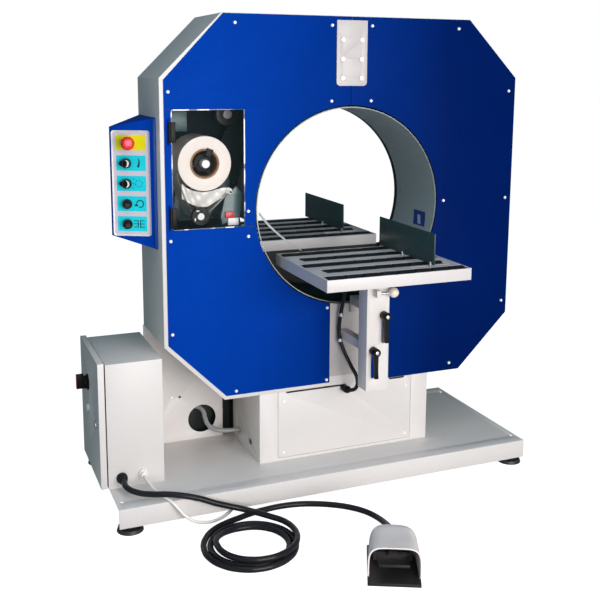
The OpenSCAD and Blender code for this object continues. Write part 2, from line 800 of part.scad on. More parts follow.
module selector(k) machine() on_pod() color(dark) {
    ctrl_stem(k, 3);
    bar_y(ctrl_x, -face_t - 13, k * ctrl_pitch, 11, 4);
    block(ctrl_x - 16, ctrl_x + 9, -face_t - 24, -face_t - 13, k * ctrl_pitch - 4, k * ctrl_pitch + 4);
}
module speed_selector() selector(1);
module mode_selector() selector(0);

// ---- tables ----

rows = [-2, -1, 0, 1, 2];
function row_in(k) = abs(k) % 2 == 0 ? long_in : short_in;

// a folded tray with five roller slots and two guide slots for the fence
module tray(y0, l) color(shade) difference() {
    h = table_w / 2;
    union() {
        difference() {
            block(-h, h, y0, y0 + l, table_z - table_h, table_z);
            block(-h + sheet, h - sheet, y0 + sheet, y0 + l - sheet, table_z - table_h - 1, table_z - sheet);
        }
        for (s = [-1, 1]) block(s * beam_x - beam_w / 2, s * beam_x + beam_w / 2, y0 + sheet / 2,
            y0 + l - sheet / 2, table_z - table_h, table_z - table_h + beam_h);
    }
    for (k = rows) {
        y = y0 + l / 2 + k * roller_pitch;
        e = h - row_in(k);
        block(-e, e, y - slot_half, y + slot_half, table_z - sheet - 1, table_z + 1);
        bar_x(-h - 1, y, roller_z, axle_r + fit, 2 * h + 2);
    }
    for (k = [-1.5, 0.5]) translate([fence_x, y0 + l / 2 + k * roller_pitch, table_z - sheet - 1])
        linear_extrude(sheet + 2) rotate(90) round_slot(2 * stud_r + 1, 2 * (fence_move + stud_r) + 4);
}

module table_rollers(y0, l) for (k = rows) {
    y = y0 + l / 2 + k * roller_pitch;
    e = table_w / 2 - max(row_in(k), sheet + 2) - 2;
    n = floor(2 * e / segment);
    s = 2 * e / n;
    color(dark) for (i = [0:n - 1]) bar_x(-e + i * s + 1, y, roller_z, roller_r, s - 2);
    color(steel) bar_x(-table_w / 2, y, roller_z, axle_r, table_w);
}

// places a fence's lower end; its studs hang through the guide slots, a cross bar ties them below
module fence(y0, y_studs) {
    color(fence_grey) block(fence_x - fence_t / 2, fence_x + fence_t / 2, y0, y0 + fence_l,
        fence_z, fence_z + fence_h);
    color(steel) for (y = y_studs)
        bar_z(fence_x, y, table_z - table_h - 12, stud_r, fence_z + 8 - table_z + table_h + 12);
    color(light) block(fence_x - 12, fence_x + 12, y_studs[0] - 16, y_studs[1] + 16,
        table_z - table_h - 14, table_z - table_h - gap);
}

module bar_z(x, y, z0, r, l) translate([x, y, z0]) cylinder(r = r, h = l);

module channel_column(y0, open_y, slots) difference() {
    h = column_w / 2;
    union() {
        difference() {
            block(-h, h, y0, y0 + column_d, column_z, column_top - sheet);
            block(-h + sheet, h - sheet, y0 + (open_y > 0 ? sheet : -1), y0 + column_d - (open_y > 0 ? -1 : sheet),
                column_z - 1, column_top + 1);
        }
        block(-beam_x - beam_w / 2, beam_x + beam_w / 2, y0 - 6, y0 + column_d + 6, column_top - sheet, column_top);
    }
    for (p = slots) translate([p[0], y0 - 1, p[1] - lift / 2 - 2]) rotate([-90, 0, 0])
        linear_extrude(column_d + 2) round_slot(2 * bolt_r + 3, lift + 2 * bolt_r + 18);
}

module front_table() machine() tray(front_y1 - front_l, front_l);
module back_table() machine() tray(back_y0, back_l);
module front_rollers() machine() table_rollers(front_y1 - front_l, front_l);
module back_rollers() machine() table_rollers(back_y0, back_l);
module front_fence() machine() fence(front_y1 + 2 - fence_l,
    [for (k = [-1.5, 0.5]) front_y1 - front_l / 2 + k * roller_pitch]);
module back_fence() machine() fence(back_y0 + back_l + 4 - fence_l,
    [for (k = [-1.5, 0.5]) back_y0 + back_l / 2 + k * roller_pitch]);

module front_column() machine() color(light) {
    y0 = -column_gap - column_d;
    difference() {
        union() {
            channel_column(y0, 1, lever_places);
            block(-18, -4, y0 - lug_out - 8, y0 + 1, lug_z - 10, lug_z + 10);
        }
        bar_x(-20, y0 - lug_out, lug_z, bolt_r + fit, 20);
    }
}

function back_column_y1() = house_d + column_gap + column_d;
module back_column() machine() color(light)
    channel_column(back_column_y1() - column_d, -1, [[0, 518]]);

// clamp lever: threaded bolt, hub and a handle that hangs down; faces the given way along Y
module clamp_lever(x, y, z, way) color(dark) {
    translate([x, y, z]) rotate([way > 0 ? -90 : 90, 0, 0]) {
        translate([0, 0, gap]) cylinder(r = lever_hub_r, h = lever_hub_l);
        translate([0, 0, -22]) cylinder(r = bolt_r, h = 24);
    }
    translate([x, y + way * (lever_hub_l - 6), z]) {
        rotate([180 - way * 4, 0, 0]) cylinder(r1 = 10, r2 = 7, h = lever_l);
        rotate([180 - way * 4, 0, 0]) translate([0, 0, lever_l]) sphere(r = 7.5);
    }
}

module front_lever_upper() machine()
    clamp_lever(lever_places[0][0], -column_gap - column_d, lever_places[0][1], -1);
module front_lever_lower() machine()
    clamp_lever(lever_places[1][0], -column_gap - column_d, lever_places[1][1], -1);
module back_lever() machine() clamp_lever(0, back_column_y1(), 518, 1);

module table_plunger() machine() {
    y = -column_gap - column_d - lug_out;
    color(steel) bar_x(-16, y, lug_z, bolt_r, 46);
    color("#EFE9DC") translate([40, y, lug_z]) sphere(r = 15);
}

// ---- pedal ----

module at_pedal() translate([pedal_x, pedal_y, 0]) rotate([0, 0, pedal_turn]) children();

module pedal_base() machine() at_pedal() color(dark) {
    h = pedal_w / 2;
    l = pedal_l / 2;
    block(-h, h, -l, l, 0, pedal_base_t);
    for (s = [-1, 1]) difference() {
        block(s * ear_x - 4, s * ear_x + 4, treadle_y - 12, treadle_y + 12, pedal_base_t, treadle_z + 10);
        bar_x(s * ear_x - 5, treadle_y, treadle_z, 4 + fit, 10);
    }
    block(-16, 16, l - 26, l - hood_t - 1, pedal_base_t, 46);
}

module hood_block(g) hull() {
    h = pedal_w / 2 - 3 - g;
    upright_at(-pedal_l / 2 + 6 - g, 1) polygon_arch(h, pedal_h - g, 26);
    upright_at(pedal_l / 2 - 62, 1) polygon_arch(h - 2, pedal_h - 12 - g, 26);
    upright_at(pedal_l / 2 - 1 - g, 1) polygon_arch(h - 26, 62 - g, 16);
}
module upright_at(y0, t) translate([0, y0 + t, 0]) rotate([90, 0, 0]) linear_extrude(t) children();
module polygon_arch(w, top, r) polygon(concat([[-w, pedal_base_t], [w, pedal_base_t]],
    [for (a = [0:15:90]) [w - r + r * cos(a), top - r + r * sin(a)]],
    [for (a = [90:15:180]) [-w + r + r * cos(a), top - r + r * sin(a)]]));

module pedal_hood() machine() at_pedal() color("#DDD8D2") difference() {
    hood_block(0);
    difference() {
        hood_block(hood_t);
        translate([0, pedal_l, 50]) cube([2 * pedal_w, pedal_l + 2 * hood_t, 200], center = true);
    }
    block(-pedal_w, pedal_w, -pedal_l, -pedal_l / 2 + 20, pedal_base_t - 30, pedal_base_t + 16);
}

module pedal_treadle() machine() at_pedal() color("#2A2A2C") {
    w = ear_x - 5;
    bar_x(-ear_x - 4, treadle_y, treadle_z, 4, 2 * ear_x + 8);
    bar_x(-w, treadle_y, treadle_z, 7, 2 * w);
    translate([0, treadle_y, treadle_z]) rotate([-4, 0, 0]) {
        block(-12, 12, -60, 0, -4, 3);
        block(-w + 4, w - 4, -98, -44, -4, 3);
    }
}

// ---- cords ----

module pedal_cable() machine() color(dark) {
    tube(pedal_in, pedal_cord_d, [0.2, 0.1, 1]);
    tube(pedal_out, pedal_cord_d, [0.2, 0.1, 1]);
}

module pedal_coil() machine() color(dark) translate([coil_mid[0], coil_mid[1], 0]) difference() {
    cylinder(r = coil_r1, h = coil_h, $fn = 96);
    translate([0, 0, -1]) cylinder(r = coil_r0, h = coil_h + 2, $fn = 96);
}

module mains_lead() machine() color("#ECEAE4") {
    tube(mains_out, mains_d, [0.1, 0.2, 1]);
    tube(plug_out, mains_d, [0.1, 0.2, 1]);
}

module mains_coil() machine() color("#ECEAE4") translate([mains_mid[0], mains_mid[1], 0]) difference() {
    cylinder(r = mains_r1, h = mains_h);
    translate([0, 0, -1]) cylinder(r = mains_r0, h = mains_h + 2);
}

module mains_plug() machine() color("#ECEAE4") translate([240, 586, 18]) rotate([0, 90, 0]) {
    cylinder(r1 = 6, r2 = 14, h = 30);
    translate([0, 0, 30]) cylinder(r = 18, h = 16);
    for (s = [-1, 1]) translate([0, s * 9.5, 46]) cylinder(r = 2.4, h = 19);
}

module sensor_cable() machine() color(dark) tube(sensor_route, 12, [1, 0.2, 0.1]);
module cable_bundle() machine() color(dark) tube(bundle_route, 13, [0.1, 0.2, 1]);

base_pan();
levelling_feet();
stand_box();
stand_cover();
rear_support_plate();
housing_shell();
front_panel_left();
front_panel_right();
back_panel();
joint_plates();
panel_screws();
rear_seal();
drive_motor();
cabinet_body();
control_gear();
cable_glands();
control_pod();
control_plate();
sensor_cable();
cable_bundle();
pedal_base();
pedal_hood();
pedal_cable();
pedal_coil();
mains_lead();
mains_coil();
mains_plug();
ring_plate();
ring_drum();
reel_carriage();
support_wheel_left();
support_wheel_right();
support_wheel_low();
drive_wheel();
film_roll();
reel_spindle();
lower_roller();
upper_roller();
window_door();
front_table();
front_rollers();
front_column();
front_fence();
back_table();
back_rollers();
back_column();
back_fence();
front_lever_upper();
front_lever_lower();
back_lever();
table_plunger();
estop_button();
start_button();
stop_button();
speed_selector();
mode_selector();
main_switch();
cabinet_door();
door_lock();
pedal_treadle();
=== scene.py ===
import math

import bpy
from mathutils import Matrix, Vector


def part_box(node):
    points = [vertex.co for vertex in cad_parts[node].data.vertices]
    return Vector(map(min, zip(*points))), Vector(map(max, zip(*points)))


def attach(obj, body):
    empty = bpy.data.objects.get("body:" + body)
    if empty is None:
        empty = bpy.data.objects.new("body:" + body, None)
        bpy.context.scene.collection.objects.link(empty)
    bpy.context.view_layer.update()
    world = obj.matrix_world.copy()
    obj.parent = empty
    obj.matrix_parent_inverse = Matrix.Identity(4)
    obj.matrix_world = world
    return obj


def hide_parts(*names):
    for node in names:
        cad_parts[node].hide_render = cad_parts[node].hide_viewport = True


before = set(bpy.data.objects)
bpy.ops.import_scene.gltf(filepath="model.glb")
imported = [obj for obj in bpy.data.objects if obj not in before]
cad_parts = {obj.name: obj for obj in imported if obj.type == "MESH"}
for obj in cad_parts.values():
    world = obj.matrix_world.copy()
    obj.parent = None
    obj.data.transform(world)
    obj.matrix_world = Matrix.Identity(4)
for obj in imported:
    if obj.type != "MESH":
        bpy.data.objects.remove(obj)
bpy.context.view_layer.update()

# The place of the machine in the frame. Drawing sizes below are millimetres from the middle of the
# housing's front face at floor level: across, front to back, and up.
shell_low, shell_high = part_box("housing_shell")
middle_x = (shell_low.x + shell_high.x) / 2
front_y = shell_low.y


def at(across, back, up):
    return Vector((middle_x + across / 1000, front_y + back / 1000, up / 1000))


# Studio camera: it stands to the left of the machine at eye height, and looks a little down at it.
camera = bpy.data.objects.new("studio_camera", bpy.data.cameras.new("studio_camera"))
bpy.context.scene.collection.objects.link(camera)
bpy.context.scene.camera = camera
camera.data.lens = 54.69
camera.data.sensor_width = 36
camera.data.shift_y = -0.1167
camera.matrix_world = (
    Matrix.Translation(at(-1185.0, -2508.4, 1277.1))
    @ Matrix.Rotation(math.radians(-22.16), 4, "Z")
    @ Matrix.Rotation(math.radians(80.17), 4, "X")
    @ Matrix.Rotation(math.radians(0.27), 4, "Z")
)

# Studio: a white floor that runs out of sight, a wide soft box in front, and weak fill from the sides.
bpy.context.scene.view_settings.view_transform = "Standard"


def fresh(name, add, **settings):
    bpy.ops.object.select_all(action="DESELECT")
    add(**settings)
    piece = bpy.context.object
    piece.name = name
    return piece


def tune(node, **settings):
    for socket, value in settings.items():
        node.inputs[socket.replace("_", " ")].default_value = value


def add_node(finish, kind, **settings):
    node = finish.node_tree.nodes.new("ShaderNode" + kind)
    tune(node, **settings)
    return node


def new_finish(name, **settings):
    finish = bpy.data.materials.new(name)
    finish.use_nodes = True
    skin = finish.node_tree.nodes["Principled BSDF"]
    tune(skin, **settings)
    return finish, skin


def join(owner, *pairs):
    for source, out, target, into in pairs:
        owner.node_tree.links.new(source.outputs[out], target.inputs[into])


floor = fresh("studio_floor", bpy.ops.mesh.primitive_plane_add, size=60, location=(0, 0, -0.0005))
paper, backing = new_finish("studio_paper", Base_Color=(0.5, 0.5, 0.5, 1), Roughness=1, Specular_IOR_Level=0,
                            Emission_Color=(1, 1, 1, 1))
sight = add_node(paper, "LightPath")
glow = add_node(paper, "Math")
glow.operation = "MULTIPLY"
glow.inputs[1].default_value = 0.95
join(paper, (sight, "Is Camera Ray", glow, 0), (glow, 0, backing, "Emission Strength"))
floor.data.materials.append(paper)
surround = bpy.data.worlds.new("studio_air")
bpy.context.scene.world = surround
surround.use_nodes = True
seen = add_node(surround, "Background", Color=(1, 1, 1, 1), Strength=1.0)
felt = surround.node_tree.nodes["Background"]
tune(felt, Color=(0.60, 0.88, 1, 1), Strength=0.17)
ray = add_node(surround, "LightPath")
pick = add_node(surround, "MixShader")
join(surround, (ray, "Is Camera Ray", pick, 0), (felt, 0, pick, 1), (seen, 0, pick, 2),
     (pick, 0, surround.node_tree.nodes["World Output"], "Surface"))


def soft_box(name, place, aim, wide, high, power, colour=(1, 1, 1)):
    light = bpy.data.objects.new(name, bpy.data.lights.new(name, "AREA"))
    bpy.context.scene.collection.objects.link(light)
    light.data.shape = "RECTANGLE"
    light.data.size = wide
    light.data.size_y = high
    light.data.energy = power
    light.data.color = colour
    light.location = place
    light.rotation_euler = (Vector(place) - Vector(aim)).to_track_quat("Z", "Y").to_euler()


soft_box("front_box", at(150, -3300, 1050), at(0, 0, 640), 2.4, 1.9, 118, (1, 0.94, 0.925))
soft_box("left_fill", at(-3200, -900, 1300), at(-500, 100, 800), 1.6, 1.6, 7, (0.80, 0.94, 1))
soft_box("floor_wash", at(-300, -1500, 3600), at(-100, -400, 0), 3.5, 2.5, 34, (0.80, 0.90, 1))

# Foot pedal's cord: black rubber, 17 mm thick. It leaves the cabinet's gland, runs over the base pan's edge,
# lies in a loose coil of nearly three turns on the floor and goes on to the pedal's back.


def between(finish, low, high):
    tint = add_node(finish, "Mix")
    tint.data_type = "RGBA"
    tune(tint, A=(*low, 1), B=(*high, 1))
    return tint


def rubber(name, colour, rough, relief=0.15, scale=350):
    finish, skin = new_finish(name)
    place = add_node(finish, "TexCoord")
    grain = add_node(finish, "TexNoise", Scale=scale, Detail=4)
    dust = add_node(finish, "TexNoise", Scale=9, Detail=5)
    tint = between(finish, [c * 0.8 for c in colour], [min(1, c * 1.25 + 0.004) for c in colour])
    spread = add_node(finish, "MapRange", To_Min=max(0.05, rough - 0.08), To_Max=min(1, rough + 0.08))
    bump = add_node(finish, "Bump", Strength=relief, Distance=0.0003)
    join(finish, (place, "Object", grain, "Vector"), (place, "Object", dust, "Vector"),
         (dust, "Fac", tint, "Factor"), (tint, "Result", skin, "Base Color"), (dust, "Fac", spread, "Value"),
         (spread, "Result", skin, "Roughness"), (grain, "Fac", bump, "Height"),
         (bump, "Normal", skin, "Normal"))
    return finish


def surface(finish, **settings):
    tune(finish.node_tree.nodes["Principled BSDF"], **settings)


def laid_cord(name, route, thick, finish):
    line = bpy.data.curves.new(name, "CURVE")
    line.dimensions = "3D"
    line.bevel_depth = thick / 2
    line.bevel_resolution = 5
    line.resolution_u = 5
    line.use_fill_caps = True
    spline = line.splines.new("BEZIER")
    spline.bezier_points.add(len(route) - 1)
    for knot, place in zip(spline.bezier_points, route):
        knot.co = place
        knot.handle_left_type = knot.handle_right_type = "AUTO"
    line.materials.append(finish)
    cord = bpy.data.objects.new(name, line)
    bpy.context.scene.collection.objects.link(cord)
    return cord


black_cord = rubber("black_cord_rubber", (0.012, 0.012, 0.014), 0.3)
surface(black_cord, Specular_IOR_Level=0.15, Coat_Weight=0.12, Coat_Roughness=0.15)
to_floor = [
    (-721, -24, 108), (-718, -58, 102), (-694, -90, 97), (-656, -114, 96), (-618, -131, 97),
    (-575, -147, 92), (-530, -158, 80), (-490, -164, 63), (-450, -168, 48), (-410, -178, 36),
    (-374, -199, 28),
]
coil_x, coil_y = -436, -331
lie, hump = 8.5, 26
turns = []
for step in range(0, 46):
    turned = step * 1029.7 / 45
    if turned < 230:
        radius = 136 - 39 * turned / 230
        height = hump
    elif turned < 310:
        radius = 97
        height = hump - (hump - lie) * (turned - 230) / 80
    else:
        radius = 97 + 36 * (turned - 310) / 720
        height = lie
    if turned > 960:
        radius += 12 * ((turned - 960) / 70) ** 2
    angle = math.radians(49.4 - turned)
    turns.append((coil_x + radius * math.cos(angle), coil_y + radius * math.sin(angle), height))
to_pedal = [
    (-420, -175, lie), (-380, -162, lie), (-330, -154, lie), (-276, -152, lie), (-224, -160, lie),
    (-180, -176, lie), (-136, -200, lie), (-96, -232, lie), (-66, -270, lie), (-50, -310, 9),
    (-46, -360, 13), (-54, -408, 22), (-68, -446, 32), (-84, -476, 38),
]
pedal_run = [at(*p) for p in to_floor + turns + to_pedal]
pedal_cord = laid_cord("pedal_cord", pedal_run, 0.017, black_cord)
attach(pedal_cord, "frame")
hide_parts("pedal_cable", "pedal_coil")

# Mains lead: white plastic, 9 mm thick. It runs over the base pan's edge and away under the pan;
# the rest is wound in a tight coil behind the machine, and ends in a round plug.
white_lead = rubber("white_lead_plastic", (0.80, 0.78, 0.74), 0.35, 0.06)
lead_lie, layer_rise = 4.5, 9.1
to_coil = [
    (-659, -22, 113), (-655, -58, 106), (-640, -98, 93), (-621, -131, 85), (-608, -149, 78),
    (-594, -157, 62), (-577, -162, 40), (-552, -165, 20), (-516, -164, 8),
]
to_coil += [(across, back, lead_lie) for across, back in (
    (-478, -154), (-428, -118), (-360, -20), (-280, 110), (-180, 250), (-80, 362), (0, 424), (60, 458))]
wound = []
for step in range(0, 74):
    turned = step * 2220 / 73
    layer = min(2, int(turned // 740))
    part = (turned - 740 * layer) / 740
    radius = (58 - 19 * part) if layer % 2 == 0 else (39 + 19 * part)
    height = lead_lie + layer_rise * layer
    if layer < 2 and part > 0.9:
        height += layer_rise * (part - 0.9) / 0.1
    angle = math.radians(-90 + turned)
    wound.append((110 + radius * math.cos(angle), 520 + radius * math.sin(angle), height))
to_plug = [(152, 521, 23.6), (167, 542, 21), (186, 562, 14), (212, 578, 14), (240, 586, 18)]
mains_run = [at(*p) for p in to_coil + wound + to_plug]
mains_cord = laid_cord("mains_cord", mains_run, 0.009, white_lead)
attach(mains_cord, "frame")
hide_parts("mains_lead", "mains_coil")

# Sensor cable: black rubber, 12 mm thick. It leaves the stand's gland, bows up behind the front column,
# where two zinc clips hold it, and ends under the front table.
to_table = [
    (-8, -34, 292), (6, -52, 304), (9, -56, 334), (-8, -46, 376), (-27, -32, 424),
    (-38, -22, 466), (-38, -22, 520), (-36, -36, 570), (-38, -54, 610), (-46, -80, 655),
    (-54, -100, 682), (-58, -105, 703),
]
sensor_run = [at(*p) for p in to_table]
sensor_cord = laid_cord("sensor_cord", sensor_run, 0.012, black_cord)
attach(sensor_cord, "frame")
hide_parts("sensor_cable")

# Cable bundle: a smooth black conduit, 15 mm thick, with the wires inside; its grey colour is painted sheen.
# It loops from the cabinet's back through the round hole in the support plate and into the stand.
through = [
    (-595, 288, 150), (-560, 294, 156), (-510, 300, 168), (-460, 302, 178), (-425, 298, 181),
           (-405, 286, 178),
    (-396, 270, 168), (-395, 254, 152), (-391, 239, 136), (-378, 225, 124), (-354, 214, 118),
           (-326, 208, 116),
    (-300, 205, 116), (-280, 205, 116),
]
bundle_run = [at(*p) for p in through]
# Painted sheen: the black hose is coloured grey to stand for its highlights.
hose_shine = rubber("hose_painted_sheen_grey", (0.30, 0.31, 0.31), 0.24, 0.05)
bundle_cord = laid_cord("bundle_cord", bundle_run, 0.015, hose_shine)
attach(bundle_cord, "frame")
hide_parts("cable_bundle")

# Base pan and stand: folded sheet steel, powder coated light warm grey, with slightly rounded folds.
# The stand's front cover is screwed on. The rear support plate stands upright under the housing's corner.


def coat(name, colour, rough, grain=600, relief=0.12, mottle=0.06):
    finish, skin = new_finish(name)
    place = add_node(finish, "TexCoord")
    cloud = add_node(finish, "TexNoise", Scale=4, Detail=8, Roughness=0.65)
    speck = add_node(finish, "TexNoise", Scale=grain, Detail=2)
    fleck = add_node(finish, "TexNoise", Scale=260, Detail=1)
    blend = add_node(finish, "Math")
    blend.operation = "ADD"
    halve = add_node(finish, "Math")
    halve.operation = "MULTIPLY"
    halve.inputs[1].default_value = 0.5
    tint = between(finish, [c * (1 - mottle * 2) for c in colour],
                   [min(1, c * (1 + mottle * 2)) for c in colour])
    spread = add_node(finish, "MapRange", From_Min=0.3, From_Max=0.7, To_Min=rough - 0.05,
                      To_Max=rough + 0.06)
    bump = add_node(finish, "Bump", Strength=relief, Distance=0.0002)
    for noise in (cloud, speck, fleck):
        join(finish, (place, "Object", noise, "Vector"))
    join(finish, (cloud, "Fac", blend, 0), (fleck, "Fac", blend, 1), (blend, 0, halve, 0),
         (halve, 0, tint, "Factor"), (tint, "Result", skin, "Base Color"), (cloud, "Fac", spread, "Value"),
         (spread, "Result", skin, "Roughness"), (speck, "Fac", bump, "Height"),
         (bump, "Normal", skin, "Normal"))
    return finish


def finished(piece, body, slot, *finishes):
    piece.data.materials.clear()
    for finish in finishes:
        piece.data.materials.append(finish)
    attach(piece, body)
    return piece


def choose(piece):
    bpy.ops.object.select_all(action="DESELECT")
    piece.select_set(True)
    bpy.context.view_layer.objects.active = piece


def worked(piece, kind, **settings):
    step = piece.modifiers.new("step", kind)
    for setting, value in settings.items():
        setattr(step, setting, value)
    bpy.ops.object.modifier_apply(modifier=step.name)


def smooth(angle):
    bpy.ops.object.shade_smooth_by_angle(angle=math.radians(angle))


def softened(node, name, edge, body, slot, finish, steps=2):
    piece = bpy.data.objects.new(name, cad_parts[node].data.copy())
    bpy.context.scene.collection.objects.link(piece)
    choose(piece)
    bpy.ops.object.mode_set(mode="EDIT")
    bpy.ops.mesh.select_all(action="SELECT")
    bpy.ops.mesh.remove_doubles(threshold=0.00002)
    bpy.ops.mesh.dissolve_limited(angle_limit=math.radians(1))
    bpy.ops.object.mode_set(mode="OBJECT")
    if piece.data.has_custom_normals:
        bpy.ops.mesh.customdata_custom_splitnormals_clear()
    if edge:
        worked(piece, "BEVEL", width=edge, segments=steps, limit_method="ANGLE", angle_limit=math.radians(32))
    smooth(32)
    finished(piece, body, slot, finish)
    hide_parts(node)
    return piece


def paint_where(piece, finish, test):
    piece.data.materials.append(finish)
    number = len(piece.data.materials) - 1
    for face in piece.data.polygons:
        if test(face.center):
            face.material_index = number


casing = coat("casing_grey_coat", (0.70, 0.68, 0.66), 0.42)
softened("base_pan", "base_tray", 0.0018, "frame", "casing_paint", casing)
softened("stand_box", "stand_body", 0.0015, "frame", "casing_paint", casing)
softened("stand_cover", "stand_front", 0.0006, "frame", "casing_paint", casing)
softened("rear_support_plate", "support_sheet", 0.0005, "frame", "casing_paint", casing)


def dressed(node, finish):
    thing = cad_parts[node]
    thing.data.materials.clear()
    thing.data.materials.append(finish)


foot_rubber = rubber("foot_rubber", (0.02, 0.02, 0.02), 0.5)
dressed("levelling_feet", foot_rubber)

# Cable cover: a thin black sheet behind the support plate, with one folded side. It closes the room that
# the conduit crosses.


def settle():
    bpy.ops.object.transform_apply(location=True, rotation=True, scale=True)


def slab(name, low, high, edge, body, slot, finish):
    low, high = at(*low), at(*high)
    piece = fresh(name, bpy.ops.mesh.primitive_cube_add, size=1, location=(low + high) / 2)
    piece.scale = high - low
    settle()
    if edge:
        worked(piece, "BEVEL", width=edge, segments=3)
        smooth(35)
    return finished(piece, body, slot, finish)


dark_sheet = rubber("cover_black", (0.006, 0.009, 0.010), 0.6)
slab("cable_cover", (-470, 309.5, 78.2), (-291, 311, 301), 0.0004, "frame", "black_plastic", dark_sheet)
slab("cable_cover_fold", (-292.6, 270, 78.2), (-291.2, 311, 301), 0.0004, "frame", "black_plastic",
     dark_sheet)

# Housing: an eight-sided welded shell in light grey, with blue textured cover panels screwed to its front
# and back, and light plates that tie its two halves together above and below the ring.
blue = coat("royal_blue_coat", (0.0003, 0.044, 0.36), 0.55, 260, 0.3, 0.16)
surface(blue, Specular_IOR_Level=0.015)
blue_skin = blue.node_tree.nodes["Principled BSDF"]
mottled = blue_skin.inputs["Base Color"].links[0].from_node
# Painted shade: the blue is darkened from left to right across the machine, standing for the front light's
# falloff.
where = add_node(blue, "TexCoord")
sides = add_node(blue, "SeparateXYZ")
painted_falloff_ramp = add_node(blue, "MapRange", From_Min=-0.35, From_Max=0.45)
shade = add_node(blue, "Mix")
shade.data_type = "RGBA"
shade.blend_type = "MULTIPLY"
tune(shade, B=(0.3, 0.24, 0.27, 1))
join(blue, (where, "Object", sides, "Vector"), (sides, "X", painted_falloff_ramp, "Value"), (painted_falloff_ramp, "Result", shade, "Factor"),
     (mottled, "Result", shade, "A"), (shade, "Result", blue_skin, "Base Color"))
softened("housing_shell", "housing_casing", 0.002, "frame", "casing_paint", casing)
softened("front_panel_left", "blue_panel_left", 0.0006, "frame", "blue_paint", blue)
right_panel = softened("front_panel_right", "blue_panel_right", 0.0006, "frame", "blue_paint", blue)
left_panel = bpy.data.objects["blue_panel_left"]
ring_z, ring_r = 872, 300
centre_z = ring_z / 1000
panel_grow = 1.0195
for panel in (left_panel, right_panel):
    for vertex in panel.data.vertices:
        aside, above = vertex.co.x - middle_x, vertex.co.z - centre_z
        diagonal = (abs(aside) + abs(above)) / math.sqrt(2)
        outer = abs(aside) > 0.566 or abs(above) > 0.548 or diagonal > 0.672
        if outer and (aside > 0.05 or above > 0.535):
            if aside > 0.05:
                vertex.co.x = middle_x + aside * panel_grow
            vertex.co.z = centre_z + above * panel_grow
rear_panel = softened("back_panel", "blue_panel_back", 0.0006, "frame", "blue_paint", blue)
# Painted shade: the back panel's inner face is painted near black for the shade inside the housing.
painted_shade_dark = rubber("inside_painted_shade", (0.003, 0.011, 0.017), 0.6)
surface(painted_shade_dark, Specular_IOR_Level=0.1)
inner_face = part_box("back_panel")[1].y - 0.0015
paint_where(rear_panel, painted_shade_dark, lambda c: c.y < inner_face)
tie_coat = coat("tie_plate_coat", (0.53, 0.50, 0.49), 0.42)
softened("joint_plates", "tie_plates", 0.0008, "frame", "casing_paint", tie_coat)


def metal(name, colour, rough, streak=(1, 1, 1), scale=60, metallic=1.0):
    finish, skin = new_finish(name, Metallic=metallic)
    place = add_node(finish, "TexCoord")
    turn = add_node(finish, "Mapping", Scale=streak)
    brush = add_node(finish, "TexNoise", Scale=scale, Detail=6)
    tint = between(finish, [c * 0.88 for c in colour], [min(1, c * 1.08) for c in colour])
    spread = add_node(finish, "MapRange", To_Min=max(0.04, rough - 0.1), To_Max=rough + 0.12)
    join(finish, (place, "Object", turn, "Vector"), (turn, "Vector", brush, "Vector"),
         (brush, "Fac", tint, "Factor"), (tint, "Result", skin, "Base Color"),
         (brush, "Fac", spread, "Value"), (spread, "Result", skin, "Roughness"))
    return finish


zinc = metal("zinc_plate", (0.72, 0.72, 0.73), 0.3)
screw_bright = metal("screw_bright", (0.95, 0.95, 0.93), 0.5, metallic=0.3)
dressed("panel_screws", screw_bright)
seal_rubber = rubber("seal_rubber", (0.006, 0.006, 0.007), 0.55)
dressed("rear_seal", seal_rubber)
shadow = rubber("seam_shadow", (0.002, 0.006, 0.02), 0.6)
slab("seam_upper_left", (-574.5, -2.35, 1172.4), (-556.5, -1.9, 1173.6), 0, "frame", "blue_paint", shadow)
slab("seam_low_middle", (-336, -2.35, 827.4), (-308, -1.9, 828.6), 0, "frame", "blue_paint", shadow)
slab("knock_out_cover", (318, -2.9, 600), (372, -1.9, 634), 0.0004, "frame", "blue_paint", blue)

# Ring and its running gear: a machined plate on three flanged wheels and a rubber friction wheel,
# with a rolled and painted drum that lines the opening.
wheel_tread = rubber("wheel_tread", (0.02, 0.02, 0.022), 0.45)
white_caps_and_glints = rubber("white_caps_and_glints", (0.82, 0.81, 0.79), 0.4, 0.04)
for side in ("left", "right", "low"):
    wheel = softened(f"support_wheel_{side}", f"flanged_wheel_{side}", 0.0006, f"wheel_{side}",
                     "black_rubber", wheel_tread)
    lip = front_y + 0.1898
    paint_where(wheel, white_caps_and_glints, lambda c: c.y < lip)
dressed("drive_wheel", wheel_tread)
motor_coat = coat("motor_grey_coat", (0.10, 0.105, 0.11), 0.45)
dressed("drive_motor", motor_coat)
# Painted shade: the machined ring plate is painted dark green for the shade inside the housing.
ring_painted_shade = coat("ring_painted_shade_coat", (0.007, 0.026, 0.024), 0.5)
surface(ring_painted_shade, Specular_IOR_Level=0.12)
dressed("ring_plate", ring_painted_shade)
drum_coat = coat("drum_grey_coat", (0.34, 0.41, 0.43), 0.4, 500, 0.08, 0.05)
drum = softened("ring_drum", "drum_lining", 0, "ring", "drum_paint", drum_coat)
# Painted shade: the drum's lower left is painted near black for the shadow that falls there.
paint_where(drum, painted_shade_dark, lambda c: c.x < middle_x + 0.10 and c.z < 0.70)


